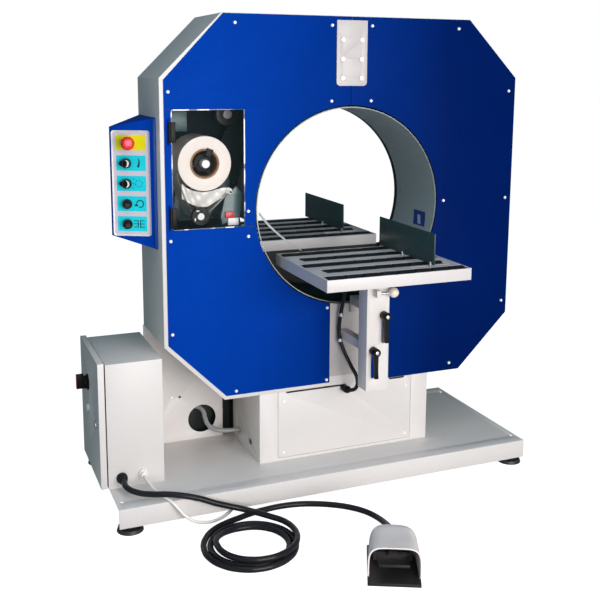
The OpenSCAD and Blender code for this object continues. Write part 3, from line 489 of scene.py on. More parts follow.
def turned_ring(name, centre, profile, axis, body, slot, finish, parts=128):
    made = bpy.data.meshes.new(name)
    count = len(profile)
    made.from_pydata([(r / 1000, 0, d / 1000) for r, d in profile],
                     [(k, (k + 1) % count) for k in range(count)], [])
    piece = bpy.data.objects.new(name, made)
    bpy.context.scene.collection.objects.link(piece)
    choose(piece)
    worked(piece, "SCREW", axis="Z", steps=parts, render_steps=parts, use_merge_vertices=True,
           merge_threshold=0.00001)
    bpy.ops.object.mode_set(mode="EDIT")
    bpy.ops.mesh.select_all(action="SELECT")
    bpy.ops.mesh.remove_doubles(threshold=0.00001)
    bpy.ops.mesh.normals_make_consistent(inside=False)
    bpy.ops.object.mode_set(mode="OBJECT")
    piece.rotation_mode = "QUATERNION"
    piece.rotation_quaternion = Vector(axis).to_track_quat("Z", "Y")
    piece.location = centre
    settle()
    smooth(35)
    return finished(piece, body, slot, finish)


rim_metal = metal("drum_lip_metal", (0.20, 0.23, 0.22), 0.4)
BACK = (0, 1, 0)
turned_ring("drum_front_lip", at(0, -2, ring_z), [(300.2, -0.4), (303, -0.4), (303, 0.5), (300.2, 0.5)],
            BACK, "ring", "ring_metal", rim_metal)
for number, (angle, depth) in enumerate(((57, 236), (2, 218))):
    ray_dir = Vector((math.cos(math.radians(angle)), 0, math.sin(math.radians(angle))))
    spot = at(ring_r * ray_dir.x, depth, ring_z + ring_r * ray_dir.z)
    turned_ring(f"drum_screw_{number + 1}", spot, [(0.01, 1.6), (2.5, 1.5), (4.5, 0.6), (5, 0), (0.01, 0)],
                -ray_dir, "ring", "zinc", zinc, 24)


def faces_out():
    bpy.ops.object.mode_set(mode="EDIT")
    bpy.ops.mesh.select_all(action="SELECT")
    bpy.ops.mesh.normals_make_consistent(inside=False)
    bpy.ops.object.mode_set(mode="OBJECT")


label_blue = rubber("sticker_blue", (0.006, 0.03, 0.25), 0.3, 0.03)
label_pale = rubber("sticker_pale", (0.35, 0.50, 0.62), 0.35, 0.03)
stickers = (
    ("drum_sticker", label_blue, -17, -8, 38, 112, 0.5),
    ("drum_sticker_bar", label_pale, -16, -10.5, 66, 84, 0.9),
)
for name, finish, angle_0, angle_1, depth_0, depth_1, lift in stickers:
    patch = fresh(name, bpy.ops.mesh.primitive_grid_add, x_subdivisions=10, y_subdivisions=2, size=1)
    for vertex in patch.data.vertices:
        angle = math.radians(angle_0 + (angle_1 - angle_0) * (vertex.co.x + 0.5))
        depth = depth_0 + (depth_1 - depth_0) * (vertex.co.y + 0.5) + (vertex.co.x + 0.5) * 14
        reach = ring_r - lift / 2
        vertex.co = at(reach * math.cos(angle), depth, ring_z + reach * math.sin(angle))
    worked(patch, "SOLIDIFY", thickness=lift / 1000, offset=0)
    faces_out()
    smooth(35)
    finished(patch, "ring", "blue_paint", finish)

# Reel carriage: painted plate, spacers and link bolted to the ring, with a red and a white guide block,
# a small shield beside the reel and a balance weight on the ring's other side.
carriage_coat = coat("carriage_teal_coat", (0.075, 0.13, 0.135), 0.35, 400, 0.08, 0.08)
guide_red = rubber("guide_red", (0.62, 0.02, 0.03), 0.35, 0.05)
weight_coat = coat("weight_coat", (0.05, 0.055, 0.06), 0.5)
carriage = softened("reel_carriage", "carriage_plate", 0.0006, "ring", "carriage_paint", carriage_coat)
paint_where(carriage, guide_red, lambda c: c.y < front_y + 0.0369 and 0.8512 < c.z < 0.8715)
paint_where(carriage, white_caps_and_glints, lambda c: c.y < front_y + 0.0369 and 0.8285 < c.z <= 0.8512)
paint_where(carriage, weight_coat, lambda c: c.x > middle_x + 0.1)

bracket_teal = coat("bracket_teal_coat", (0.035, 0.105, 0.115), 0.4)
slab("carriage_shield", (-512, 196, 1098), (-456, 198, 1160), 0.0004, "ring", "carriage_paint", bracket_teal)

# Film reel: clear white stretch film wound on a cardboard core. The end shows faint rings of the windings.
reel_x, reel_z, reel_front = -445, 1013, 45


def ringed(name, colour, colour_2, centre, pitch, rough):
    finish, skin = new_finish(name, Roughness=rough)
    place = add_node(finish, "TexCoord")
    shift = add_node(finish, "Mapping", Location=-centre)
    part = add_node(finish, "SeparateXYZ")
    flat = add_node(finish, "CombineXYZ")
    reach = add_node(finish, "VectorMath")
    reach.operation = "LENGTH"
    wind = add_node(finish, "TexNoise")
    wind.noise_dimensions = "1D"
    tune(wind, Scale=pitch, Detail=6)
    tint = between(finish, colour, colour_2)
    bump = add_node(finish, "Bump", Strength=0.25, Distance=0.0006)
    join(finish, (place, "Object", shift, "Vector"), (shift, "Vector", part, "Vector"),
         (part, "X", flat, "X"),
         (part, "Z", flat, "Z"), (flat, "Vector", reach, 0), (reach, "Value", wind, "W"),
         (wind, "Fac", tint, "Factor"), (tint, "Result", skin, "Base Color"), (wind, "Fac", bump, "Height"),
         (bump, "Normal", skin, "Normal"))
    return finish


film_finish = ringed("wound_film", (0.72, 0.65, 0.58), (0.84, 0.78, 0.71), at(reel_x, 0, reel_z), 260, 0.35)
surface(film_finish, Subsurface_Weight=0.15, Subsurface_Radius=(0.01, 0.008, 0.006))
board_finish = ringed("core_board", (0.24, 0.11, 0.045), (0.36, 0.19, 0.09), at(reel_x, 0, reel_z), 900, 0.8)
film_end = [(44.1, 0.4), (46, 0), (62, -0.3), (72, 0), (79, 0.2), (80.3, 1.2), (80.4, 62), (80.3, 123),
            (79, 123.9),
            (60, 124), (44.1, 123.6)]
roll = turned_ring("film_winding", at(reel_x, reel_front, reel_z), film_end, BACK, "reel", "film_white",
                   film_finish, 160)
core = turned_ring("film_core", at(reel_x, reel_front, reel_z),
                   [(38.2, 1), (43.9, -0.8), (43.9, 124), (38.2, 123)],
                   BACK, "reel", "film_white", board_finish, 96)
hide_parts("film_roll")

# Reel spindle: black moulded hub with three gripping lugs, curved ribs on its face and a white end button.
# It turns with the film roll on the carriage's plate.
black_gloss = rubber("black_gloss_plastic", (0.006, 0.006, 0.007), 0.3, 0.05)
surface(black_gloss, Specular_IOR_Level=0.1)
hub_front = 64
hub_line = [(0.01, 0.6), (14, 0), (25, 0.4), (28.6, 2), (29, 4), (29, 100), (12, 104), (12, 133), (0.01, 133)]
hub = turned_ring("spindle_hub", at(reel_x, hub_front, reel_z), hub_line, BACK, "reel", "black_plastic",
                  black_gloss, 96)
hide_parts("reel_spindle")
turned_ring("spindle_button", at(reel_x, 33, reel_z), [(0.01, 0), (10.5, 0), (12, 1.2), (12, 32), (0.01, 32)],
            BACK, "reel", "white_plastic", white_caps_and_glints, 48)
for number, (angle, reach, deep) in enumerate(((68, 46, 41), (188, 37, 66), (308, 37, 66))):
    lug = fresh(f"spindle_lug_{number + 1}", bpy.ops.mesh.primitive_cube_add, size=1,
                location=((22 + reach) / 2000, (deep + 140) / 2000, 0),
                scale=((reach - 22) / 1000, (140 - deep) / 1000, 0.017))
    settle()
    for vertex in lug.data.vertices:
        if vertex.co.y < 0.08 and vertex.co.x > 0.03:
            vertex.co.z *= 1.25
    worked(lug, "BEVEL", width=0.0015, segments=3)
    lug.rotation_euler = (0, -math.radians(angle), 0)
    lug.location = at(reel_x, 0, reel_z)
    settle()
    smooth(35)
    finished(lug, "reel", "black_plastic", black_gloss)


def divided_block(name):
    piece = fresh(name, bpy.ops.mesh.primitive_cube_add, size=1)
    worked(piece, "SUBSURF", subdivision_type="SIMPLE", levels=3, render_levels=3)
    return piece


for number in range(6):
    rib = divided_block(f"spindle_rib_{number + 1}")
    for vertex in rib.data.vertices:
        out = 11 + 17 * (vertex.co.x + 0.5)
        angle = math.radians(number * 60 + 60 * (vertex.co.x + 0.5)) + vertex.co.z * 2.6 / out
        deep = hub_front - 3.2 * (0.5 - vertex.co.y)
        vertex.co = at(reel_x + out * math.cos(angle), deep - 0.6, reel_z + out * math.sin(angle))
    faces_out()
    smooth(35)
    finished(rib, "reel", "black_plastic", black_gloss)

# Film rollers: a grey aluminium lower roller with a black hand ring and a white end, and a white plastic
# upper roller. Both turn on the carriage and stretch the film.
roller_alu = metal("roller_aluminium", (0.75, 0.75, 0.74), 0.25, (1, 0.05, 1), 80)
low_x, low_z, up_x, up_z = -462, 860, -370, 928
low = softened("lower_roller", "tension_roller", 0.0005, "roller_low", "ring_metal", roller_alu)
ring_start = front_y + 0.0352
paint_where(low, black_gloss, lambda c: c.y < ring_start)
low_mid = at(low_x, 0, low_z)
paint_where(low, white_caps_and_glints, lambda c: c.y < front_y + 0.0351
            and math.hypot(c.x - low_mid.x, c.z - low_mid.z) < 0.0085)
hand_ring_line = [(10.4, 1.4), (12, 0), (26, 0), (27.4, 1.4), (27.4, 11), (10.4, 11)]
turned_ring("hand_ring", at(low_x, 33.6, low_z), hand_ring_line, BACK, "roller_low", "black_plastic",
            black_gloss, 96)
cap_line = [(0.01, 0), (9.6, 0), (10.3, 0.8), (10.3, 6), (0.01, 6)]
turned_ring("hand_ring_cap", at(low_x, 31.2, low_z), cap_line, BACK, "roller_low", "white_plastic",
            white_caps_and_glints, 48)
for number, (spoke_x, spoke_z, wide, high) in enumerate(((-17, -8, 3.5, 9), (-9, 17, 9, 3.5))):
    slab(f"hand_ring_gap_{number + 1}", (low_x + spoke_x - wide / 2, 33.1, low_z + spoke_z - high / 2),
         (low_x + spoke_x + wide / 2, 33.65, low_z + spoke_z + high / 2), 0, "roller_low", "white_plastic",
         white_caps_and_glints)
dressed("upper_roller", white_caps_and_glints)
turned_ring("upper_roller_eye", at(up_x, 30.2, up_z), [(0.01, 0), (3.2, 0), (3.2, 6), (0.01, 6)], BACK,
            "roller_up", "black_plastic", black_gloss, 24)

# Film web: thin clear stretch film that leaves the roll, passes round the lower roller and goes up to the
# upper one. A crumpled veil of the same film hangs loose in front of it.
web, skin = new_finish("film_web_clear", Base_Color=(0.66, 0.70, 0.66, 1), Roughness=0.2, Alpha=0.86)
place = add_node(web, "TexCoord")
crease = add_node(web, "TexNoise", Scale=22, Detail=3, Distortion=1.5)
lift = add_node(web, "Bump", Strength=0.5, Distance=0.004)
join(web, (place, "Object", crease, "Vector"), (crease, "Fac", lift, "Height"),
     (lift, "Normal", skin, "Normal"))


def ribbon(name, stations, depth_0, depth_1, body):
    last = len(stations) - 1
    film = fresh(name, bpy.ops.mesh.primitive_grid_add, x_subdivisions=last, y_subdivisions=6, size=1)
    for vertex in film.data.vertices:
        k = round((vertex.co.x + 0.5) * last)
        x, z = stations[k]
        vertex.co = at(x, depth_0 + (depth_1 - depth_0) * (vertex.co.y + 0.5), z)
    worked(film, "SOLIDIFY", thickness=0.0003)
    smooth(60)
    return finished(film, body, "film_white", web)


def round_roller(centre_x, centre_z, radius, angles):
    turns_of = [math.radians(turned) for turned in angles]
    return [(centre_x + radius * math.cos(angle), centre_z + radius * math.sin(angle)) for angle in turns_of]


path = [(reel_x - 79.5, reel_z - 22), (reel_x - 81.3, reel_z - 34), (-519, 955), (-508, 925), (-494, 893)]
path += [(-482.4, 866)] + round_roller(low_x, low_z, 18.6, range(170, 341, 17))
path += [(-430, 872), (-405, 893), (-380, 918)] + round_roller(up_x, up_z, 10.6, (225, 270, 315, 360, 405))
ribbon("film_path", path, 47, 167, "ring")

veil = rubber("film_veil_white", (0.80, 0.78, 0.73), 0.2, 0.35, 55)
surface(veil, Alpha=0.93)
sheet = fresh("film_veil", bpy.ops.mesh.primitive_grid_add, x_subdivisions=28, y_subdivisions=12, size=1)
upper_line = [(-514, 958), (-500, 944), (-478, 934), (-450, 929), (-422, 933), (-396, 939), (-371, 941)]
lower_line = [(-512, 912), (-498, 903), (-482, 893), (-462, 884), (-436, 884), (-404, 900), (-371, 916)]
for vertex in sheet.data.vertices:
    along = (vertex.co.x + 0.5) * 6
    k = min(5, int(along))
    share, down = along - k, 0.5 - vertex.co.y
    upper = [a + (b - a) * share for a, b in zip(upper_line[k], upper_line[k + 1])]
    lower = [a + (b - a) * share for a, b in zip(lower_line[k], lower_line[k + 1])]
    crumple = 2.2 * math.sin(along * 2.9 + down * 5) + 1.5 * math.sin(along * 6.1 - down * 9)
    vertex.co = at(upper[0] + (lower[0] - upper[0]) * down, 47 + 14 * down + crumple,
                   upper[1] + (lower[1] - upper[1]) * down)
worked(sheet, "SOLIDIFY", thickness=0.0003)
smooth(60)
finished(sheet, "ring", "film_white", veil)

# Window door: clear plastic sheet with polished edges; the edges' dark blue with white glints is painted
# reflection.
# It hangs on two black hinges at its left side, which are screwed to the front panel.
clear, _ = new_finish("clear_door_sheet", Base_Color=(0.10, 0.14, 0.15, 1), Roughness=0.02, IOR=1.2,
                      Specular_IOR_Level=0.05, Alpha=0.03)
# Painted reflection on the door's edges: dark blue, with white glints where the noise is high.
edge_painted_glints, skin = new_finish("sheet_edge_painted_glints", Roughness=0.1)
place = add_node(edge_painted_glints, "TexCoord")
glint = add_node(edge_painted_glints, "TexNoise", Scale=14)
steps = add_node(edge_painted_glints, "ValToRGB")
for stop, position, colour in zip(steps.color_ramp.elements, (0.5, 0.56),
                                  ((0.012, 0.07, 0.22, 1), (0.95, 0.95, 0.95, 1))):
    stop.position, stop.color = position, colour
join(edge_painted_glints, (place, "Object", glint, "Vector"), (glint, "Fac", steps, "Fac"),
     (steps, "Color", skin, "Base Color"))
pane = slab("clear_door", (-555, -3, 829), (-338, 2, 1172), 0.0012, "window", "clear", clear)
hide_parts("window_door")
for name, low, high in (("left", (-555.4, -3.4, 830), (-552.6, -0.4, 1171)),
                        ("right", (-341, -3.4, 830), (-337.6, -0.4, 1171)),
                        ("upper", (-552, -3.4, 1169.4), (-341, -0.4, 1172.4)),
                        ("lower", (-552, -3.4, 828.6), (-341, -0.4, 831.4))):
    slab(f"door_edge_{name}", low, high, 0.0003, "window", "clear", edge_painted_glints)
for number, height in enumerate((837, 1080)):
    slab(f"door_hinge_leaf_{number + 1}", (-561, -5.9, height), (-543, -3.05, height + 58), 0.0008,
         "window", "black_plastic", black_gloss)
    turned_ring(f"door_hinge_barrel_{number + 1}", at(-561, -9.3, height),
                [(0.01, 0), (3.8, 0), (4.5, 0.7), (4.5, 57.3), (3.8, 58), (0.01, 58)], (0, 0, 1), "window",
                "black_plastic",
                black_gloss, 32)

# Control box: folded blue box on the housing's left side, with a pale front plate, coloured legends, a red
# stop head, two selectors and two push buttons in black bezels.
softened("control_pod", "pod_box", 0.005, "frame", "blue_paint", blue, 3)
pod_turn = math.radians(-27.897)
ridge_painted_highlight = coat("pod_ridge_painted_highlight", (0.006, 0.075, 0.42), 0.4, 400, 0.1, 0.05)


def on_pod(piece, body, slot, *finishes):
    piece.rotation_euler = (0, 0, pod_turn)
    piece.location = at(-646.5, 79.5, 960) + Matrix.Rotation(pod_turn, 3, "Z") @ Vector((0, -0.0008, 0))
    settle()
    return finished(piece, body, slot, *finishes)


def plate(name, wide, high, thick, radius, centre, out, body, slot, finish):
    piece = fresh(name, bpy.ops.mesh.primitive_cube_add, size=1,
                  scale=(wide / 1000, thick / 1000, high / 1000),
                  location=(centre[0] / 1000, -(out + thick / 2) / 1000, centre[1] / 1000))
    settle()
    bpy.ops.object.mode_set(mode="EDIT")
    bpy.ops.mesh.select_all(action="DESELECT")
    bpy.ops.object.mode_set(mode="OBJECT")
    for edge in piece.data.edges:
        a, b = (piece.data.vertices[i].co for i in edge.vertices)
        edge.select = abs(a.x - b.x) < 1e-6 and abs(a.z - b.z) < 1e-6
    bpy.ops.object.mode_set(mode="EDIT")
    bpy.ops.mesh.select_mode(type="EDGE")
    bpy.ops.mesh.bevel(offset=radius / 1000, segments=5, affect="EDGES")
    bpy.ops.object.mode_set(mode="OBJECT")
    smooth(35)
    return on_pod(piece, body, slot, finish)


# The ridge's blue is lighter than the pod's: painted highlight along the pod's inner edge.
ridge_line = [(0.01, 0), (3.5, 1), (5, 4), (5, 370), (3.5, 374), (0.01, 375)]
turned_ring("pod_ridge", at(-590.5, 49.5, 771), ridge_line, (0, 0, 1), "frame", "blue_paint", ridge_painted_highlight, 40)
plate_pale = coat("pale_plate_paint", (0.62, 0.58, 0.66), 0.4, 400, 0.03, 0.02)
plate_rim = coat("white_rim_paint", (0.88, 0.87, 0.88), 0.4, 400, 0.03, 0.01)
legend_yellow = rubber("legend_yellow", (0.82, 0.78, 0.0), 0.4, 0.02)
legend_cyan = rubber("legend_cyan", (0.0, 0.62, 0.72), 0.4, 0.02)
ink = rubber("legend_ink", (0.01, 0.03, 0.035), 0.5, 0.02)
rim = plate("plate_rim", 110, 304, 1.6, 7, (-6, 0), 0, "frame", "plate_paint", plate_rim)
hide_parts("control_plate")
plate("plate_field", 103.5, 297.5, 0.5, 5, (-6, 0), 1.6, "frame", "plate_paint", plate_pale)
pitch, control_x = 58.5, -21
for k, finish in ((2, legend_yellow), (1, legend_cyan), (0, legend_cyan), (-1, legend_cyan),
                  (-2, legend_cyan)):
    plate(f"legend_{k + 3}", 86, 44, 0.5, 3, (-6, k * pitch), 2.1, "frame", "plate_paint", finish)


def turned_on_pod(name, profile, k, body, slot, finish, parts=48):
    piece = turned_ring(name, Vector((0, 0, 0)), profile, (0, -1, 0), body, slot, finish, parts)
    piece.location = (control_x / 1000, 0, k * pitch / 1000)
    choose(piece)
    settle()
    return on_pod(piece, body, slot, finish)


bezel_line = [(11.2, 1), (14.4, 1), (14.4, 4.5), (13.2, 6.6), (11.6, 6.8), (11.2, 6)]
for k in (-2, -1, 0, 1, 2):
    turned_on_pod(f"bezel_{k + 3}", bezel_line, k, "frame", "black_plastic", black_gloss)
stop_red = rubber("stop_red", (0.72, 0.012, 0.02), 0.25, 0.03)
head_line = [(0.01, 0), (10.6, 0), (10.6, 9), (15.5, 11), (15.5, 19), (18.4, 23), (19.4, 28), (19.2, 34),
             (17, 38), (12, 40), (0.01, 40.6)]
head = turned_on_pod("stop_head", head_line, 2, "estop", "red_plastic", stop_red, 64)
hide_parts("estop_button")
button_line = [(0.01, 0), (10.6, 0), (10.6, 8.5), (9.8, 10), (7, 9.2), (0.01, 8.8)]
for k, body, node in ((-1, "start", "start_button"), (-2, "stop", "stop_button")):
    cap = turned_on_pod(f"{body}_cap", button_line, k, body, "black_plastic", black_gloss)
    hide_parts(node)
for k, body, node in ((1, "speed", "speed_selector"), (0, "mode", "mode_selector")):
    knob = fresh(f"{body}_knob", bpy.ops.mesh.primitive_cylinder_add, vertices=48, radius=0.0104, depth=0.016,
                 location=(0, -0.009, 0), rotation=(math.pi / 2, 0, 0))
    settle()
    for vertex in knob.data.vertices:
        turn_at = math.atan2(vertex.co.z, -vertex.co.x)
        if abs(turn_at) < math.radians(75) and vertex.co.y < -0.01:
            push = (1 - abs(turn_at) / math.radians(75)) ** 1.1
            vertex.co.x -= 0.0085 * push
        vertex.co.x += control_x / 1000
        vertex.co.z += k * pitch / 1000
    worked(knob, "BEVEL", width=0.0012, segments=3)
    smooth(40)
    on_pod(knob, body, "black_plastic", black_gloss)
    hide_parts(node)


def arc_mark(name, centre, radius, start, end, width_0, width_1, swell=0, out=2.9, finish=ink):
    mark = fresh(name, bpy.ops.mesh.primitive_grid_add, x_subdivisions=20, y_subdivisions=1, size=1)
    for vertex in mark.data.vertices:
        share = vertex.co.x + 0.5
        angle = math.radians(start + (end - start) * share)
        width = width_0 + (width_1 - width_0) * share + swell * math.sin(math.pi * share)
        reach = radius + vertex.co.y * width
        vertex.co = Vector((centre[0] + reach * math.cos(angle), -out,
                            centre[1] + reach * math.sin(angle))) / 1000
    worked(mark, "SOLIDIFY", thickness=0.0004, offset=0)
    faces_out()
    return on_pod(mark, "frame", "plate_paint", finish)


# Painted highlights: a thin white crescent in each bezel, on its right side.
for k in (-2, -1, 0, 1):
    arc_mark(f"bezel_glint_{k + 3}", (control_x, k * pitch), 10.8, -75, 75, 0.2, 0.2, 5,
             14.2 if k < 0 else 18.2, white_caps_and_glints)
arc_mark("mark_speed", (-4, pitch + 2), 22, -38, 32, 6, 1.5, 1)
for number in range(6):
    arc_mark(f"mark_mode_{number + 1}", (16, 0), 10, number * 60, number * 60 + 34, 1.6, 1.6)
for number, height in enumerate((13, 0, -13)):
    plate(f"mark_mode_dot_{number + 1}", 2.6, 2.6, 0.4, 0.5, (0.5, height), 2.6, "frame", "plate_paint", ink)
arc_mark("mark_start", (18, -pitch), 10, -110, 165, 3, 3)
arc_mark("mark_start_head", (7, -pitch - 1), 2, 200, 340, 9, 9)
stop_bars = ((4, 9, 12), (6, 0, 14), (4, -9, 12), (24, 9, 12), (23, 0, 14), (24, -9, 12))
for number, (x, z, wide) in enumerate(stop_bars):
    plate(f"mark_stop_{number + 1}", wide, 2.2, 0.4, 0.4, (x, -2 * pitch + z), 2.6, "frame", "plate_paint",
          ink)
for number, x in enumerate((11, 18)):
    plate(f"mark_stop_bar_{number + 1}", 2.4, 24, 0.4, 0.4, (x, -2 * pitch), 2.6, "frame", "plate_paint", ink)

# Electrical cabinet: grey steel box with a folded door, a black rotary main switch with a red tip,
# a white lamp, a lock and two screwed cable glands.
softened("cabinet_body", "cabinet_case", 0.0012, "frame", "casing_paint", casing)
softened("cabinet_door", "cabinet_lid", 0.002, "door", "casing_paint", casing)
lid = bpy.data.objects["cabinet_lid"]
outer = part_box("cabinet_door")[0].x
dial_y, lamp_y, hinge_y = front_y + 0.174, front_y + 0.176, front_y + 0.3042
dial_z, lamp_z = 0.352, 0.271
paint_where(lid, black_gloss, lambda c: c.y > hinge_y or (
    c.x < outer + 0.0072 and math.hypot(c.y - dial_y, c.z - dial_z) < 0.0245))
paint_where(lid, white_caps_and_glints, lambda c: (
    c.x < outer + 0.0068 and math.hypot(c.y - lamp_y, c.z - lamp_z) < 0.0115))
knob = softened("main_switch", "switch_knob", 0.001, "switch", "black_plastic", black_gloss)
switch_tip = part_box("main_switch")[0].x + 0.004
paint_where(knob, guide_red, lambda c: c.x < switch_tip)
dressed("door_lock", zinc)
glands = softened("cable_glands", "gland_nuts", 0.0006, "frame", "black_plastic", black_gloss)
paint_where(glands, white_caps_and_glints, lambda c: at(-675, 0, 0).x < c.x < at(-640, 0, 0).x and c.z < 0.14)
softened("control_gear", "switch_gear", 0.001, "frame", "gear_plastic", motor_coat)
dressed("mains_plug", white_lead)

# Roller tables: folded steel trays with slots for five staggered rows of black plastic rollers. Each tray is
# welded to its column.
table_coat = coat("table_grey_coat", (0.60, 0.585, 0.58), 0.4)
softened("front_table", "front_tray", 0.0012, "table_front", "table_paint", table_coat)
softened("back_table", "back_tray", 0.0012, "table_back", "table_paint", table_coat)
roller_black = rubber("roller_black_plastic", (0.007, 0.008, 0.009), 0.32, 0.08)
surface(roller_black, Specular_IOR_Level=0.3)
deck_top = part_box("front_table")[1].z
slot_half, wider, row_pitch, roller_radius = 0.018, 0.008, 0.084, 0.021
for end in ("front", "back"):
    tray = bpy.data.objects[f"{end}_tray"]
    low_end, high_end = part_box(f"{end}_table")
    table_mid = (low_end.y + high_end.y) / 2
    for vertex in tray.data.vertices:
        off_mid = vertex.co.y - table_mid
        aside = off_mid - round(off_mid / row_pitch) * row_pitch
        if vertex.co.z > deck_top - 0.004 and abs(abs(aside) - slot_half) < 0.0022 and abs(off_mid) < 0.19:
            vertex.co.y += math.copysign(wider, aside)
    for row in range(-2, 3):
        reach = (high_end.x - low_end.x) * 500 - (10 if row % 2 == 0 else 34)
        outline = [(0.01, -reach)]
        joints = 8 if row % 2 == 0 else 7
        step = 2 * reach / joints
        for part in range(joints):
            start = -reach + part * step
            outline += [(17, start), (17, start + 1.2), (20.4, start + 2.2), (21, start + 4)]
            start += step
            outline += [(21, start - 4), (20.4, start - 2.2), (17, start - 1.2)]
        outline += [(17, reach), (0.01, reach)]
        centre = Vector(((low_end.x + high_end.x) / 2, table_mid + row * row_pitch,
                         deck_top + 0.004 - roller_radius))
        made = turned_ring(f"{end}_roller_{row + 3}", centre, outline, (1, 0, 0), f"table_{end}",
                           "black_rubber", roller_black, 40)
        if row == 0:
            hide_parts(f"{end}_rollers")
    trim_x, trim_low, trim_high = ((place - origin) * 1000 for place, origin in (
        (low_end.x, middle_x), (low_end.y, front_y), (high_end.y, front_y)))
    slab(f"{end}_tray_trim", (trim_x - 0.55, trim_low + 1.5, low_end.z * 1000 + 1.2),
         (trim_x - 0.02, trim_high - 1.5, deck_top * 1000 - 1.6), 0, f"table_{end}", "table_paint",
         table_coat)

# Apron: a thin black sheet hung behind the ring's lower part, below the back table. It is cut to the
# opening's curve, and covers the running gear. Its black is painted shade that darkens the view through the
# opening.
shade_sheet = fresh("rear_shade_sheet", bpy.ops.mesh.primitive_circle_add, vertices=128, radius=0.304, fill_type="NGON",
              location=at(0, 275, ring_z), rotation=(math.pi / 2, 0, 0))
settle()
bpy.ops.object.mode_set(mode="EDIT")
bpy.ops.mesh.select_all(action="SELECT")
bpy.ops.mesh.bisect(plane_co=(0, 0, 0.6955), plane_no=(0, 0, 1), clear_outer=True)
bpy.ops.object.mode_set(mode="OBJECT")
worked(shade_sheet, "SOLIDIFY", thickness=0.0015)
finished(shade_sheet, "frame", "black_rubber", dark_sheet)

# Columns and fences: folded channels carry the tables and are clamped to the arms of the joint plates. The
# fences are painted sheet on zinc feet, and slide along the tables. Two zinc clips hold the sensor cable.
softened("front_column", "front_post", 0.0012, "table_front", "casing_paint", casing)
softened("back_column", "back_post", 0.0012, "table_back", "casing_paint", casing)
fence_coat = coat("fence_green_grey", (0.022, 0.058, 0.062), 0.33, 500, 0.08, 0.14)
for end in ("front", "back"):
    guide = softened(f"{end}_fence", f"{end}_guide", 0.0005, f"fence_{end}", "fence_paint", fence_coat)
    edge_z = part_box(f"{end}_table")[1].z + 0.0045
    paint_where(guide, zinc, lambda c: c.z < edge_z)

for number, (clip_x, clip_y, clip_z) in enumerate(((-38, -24, 458), (-37, -30, 540))):
    turned_ring(f"sensor_clip_{number + 1}", at(clip_x, clip_y, clip_z - 5),
                [(6.4, 0), (8.6, 0), (8.6, 10), (6.4, 10)],
                (0, 0, 1), "frame", "zinc", zinc, 32)

# Film tail: a narrow strip of stretch film, gathered to a string. It runs from the ring's left down to the
# front table's back corner.
tail = fresh("film_tail", bpy.ops.mesh.primitive_grid_add, x_subdivisions=24, y_subdivisions=4, size=1)
for vertex in tail.data.vertices:
    share = vertex.co.x + 0.5
    sag = 14 * math.sin(math.pi * share)
    wide = 6.5 - 3.5 * share
    vertex.co = at(-287 + 148 * share + vertex.co.y * wide * 0.6, 20 + 26 * share, 862 - 126 * share - sag
                   + vertex.co.y * wide + 1.4 * math.sin(9 * share + 6 * vertex.co.y))
worked(tail, "SOLIDIFY", thickness=0.0004)
smooth(60)
tail_film = rubber("film_tail_white", (0.42, 0.45, 0.45), 0.12, 0.1, 60)
finished(tail, "table_front", "film_white", tail_film)

# Clamp levers: black moulded handles on a round hub, flared towards the foot, with a zinc screw in the hub.
# Each turns a bolt that clamps its column. A cream ball knob on a pin locks the front table.


def clamp_handle(name, hub, way, body, node):
    grip_line = [(0.01, 0.3), (12.6, 0.3), (13, 1.2), (12.4, 27), (11, 30), (0.01, 30)]
    grip = turned_ring(f"{name}_hub", at(*hub), grip_line, (0, way, 0), body, "black_plastic", black_gloss,
                       40)
    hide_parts(node)
    turned_ring(f"{name}_screw", at(hub[0], hub[1] + way * 29.6, hub[2]),
                [(0.01, 0), (5.4, 0), (5.4, 1.6), (3, 2.2), (2.6, 1),
                (0.01, 1)], (0, way, 0), body, "zinc", zinc, 24)
    turned_ring(f"{name}_bolt", at(hub[0], hub[1] - way * 22, hub[2]),
                [(0.01, 0), (4, 0), (4, 23), (0.01, 23)], (0, way, 0),
                body, "zinc", zinc, 24)
    handle = divided_block(f"{name}_handle")
    for vertex in handle.data.vertices:
        share = 0.5 - vertex.co.z
        wide = 17 - 7 * math.sin(share * math.pi * 0.55) + 3 * max(0, share - 0.75) * 4
        deep = 15 - 5 * share
        sideways = vertex.co.x * wide
        outward = 16 + 8 * share + vertex.co.y * -way * deep
        vertex.co = at(hub[0] + sideways, hub[1] + way * outward, hub[2] + 4 - share * 82)
    worked(handle, "SUBSURF", levels=1, render_levels=1)
    faces_out()
    bpy.ops.object.shade_smooth()
    finished(handle, body, "black_plastic", black_gloss)


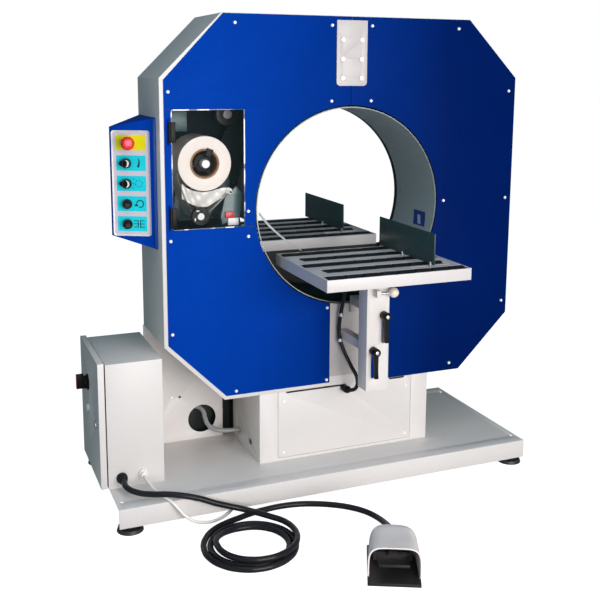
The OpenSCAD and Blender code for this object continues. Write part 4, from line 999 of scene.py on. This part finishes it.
clamp_handle("upper_lever", (17, -207, 578), -1, "lever_upper", "front_lever_upper")
clamp_handle("lower_lever", (-15, -207, 473), -1, "lever_lower", "front_lever_lower")
clamp_handle("rear_lever", (0, 479, 518), 1, "lever_back", "back_lever")
ball_cream = rubber("ball_cream_plastic", (0.80, 0.74, 0.62), 0.2, 0.02)
plunger = softened("table_plunger", "plunger_knob", 0.0, "plunger", "cream_plastic", ball_cream)
paint_where(plunger, zinc, lambda c: c.x < at(27, 0, 0).x)

# Foot pedal: a moulded light grey hood over a black base and treadle. The hood is a thin shell, wide at its
# mouth and drawn in towards the cable.
pedal_turn = math.radians(-25.6)
hood_coat = rubber("hood_grey_plastic", (0.80, 0.75, 0.72), 0.42, 0.08)
hood = fresh("pedal_cover", bpy.ops.mesh.primitive_grid_add, x_subdivisions=48, y_subdivisions=60, size=1)
for vertex in hood.data.vertices:
    share = vertex.co.y + 0.5
    around = vertex.co.x + 0.5
    length = -89 + 183 * share
    narrow = 1 - 0.10 * share - 0.30 * max(0, share - 0.62) ** 2 * 7
    half = 68.5 * narrow
    top = 103 - 12 * share - 24 * max(0, share - 0.62) ** 1.6 * 4
    foot = 8 if share > 0.12 else 8 + 16 * (1 - share / 0.12) ** 0.5
    angle = math.pi * (1 - around)
    power = 0.42
    across = half * math.copysign(abs(math.cos(angle)) ** power, math.cos(angle))
    height = foot + (top - foot) * abs(math.sin(angle)) ** power
    vertex.co = Vector((across, length, height)) / 1000
worked(hood, "SOLIDIFY", thickness=0.0035, offset=-1)
faces_out()
smooth(50)
hood.rotation_euler = (0, 0, pedal_turn)
hood.location = at(-124, -561, 0)
choose(hood)
settle()
finished(hood, "frame", "hood_paint", hood_coat)
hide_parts("pedal_hood")
pedal_black = rubber("pedal_black_plastic", (0.010, 0.010, 0.011), 0.4, 0.2)
softened("pedal_base", "pedal_sole", 0.001, "frame", "black_plastic", pedal_black)
softened("pedal_treadle", "pedal_plate", 0.001, "treadle", "black_plastic", pedal_black)
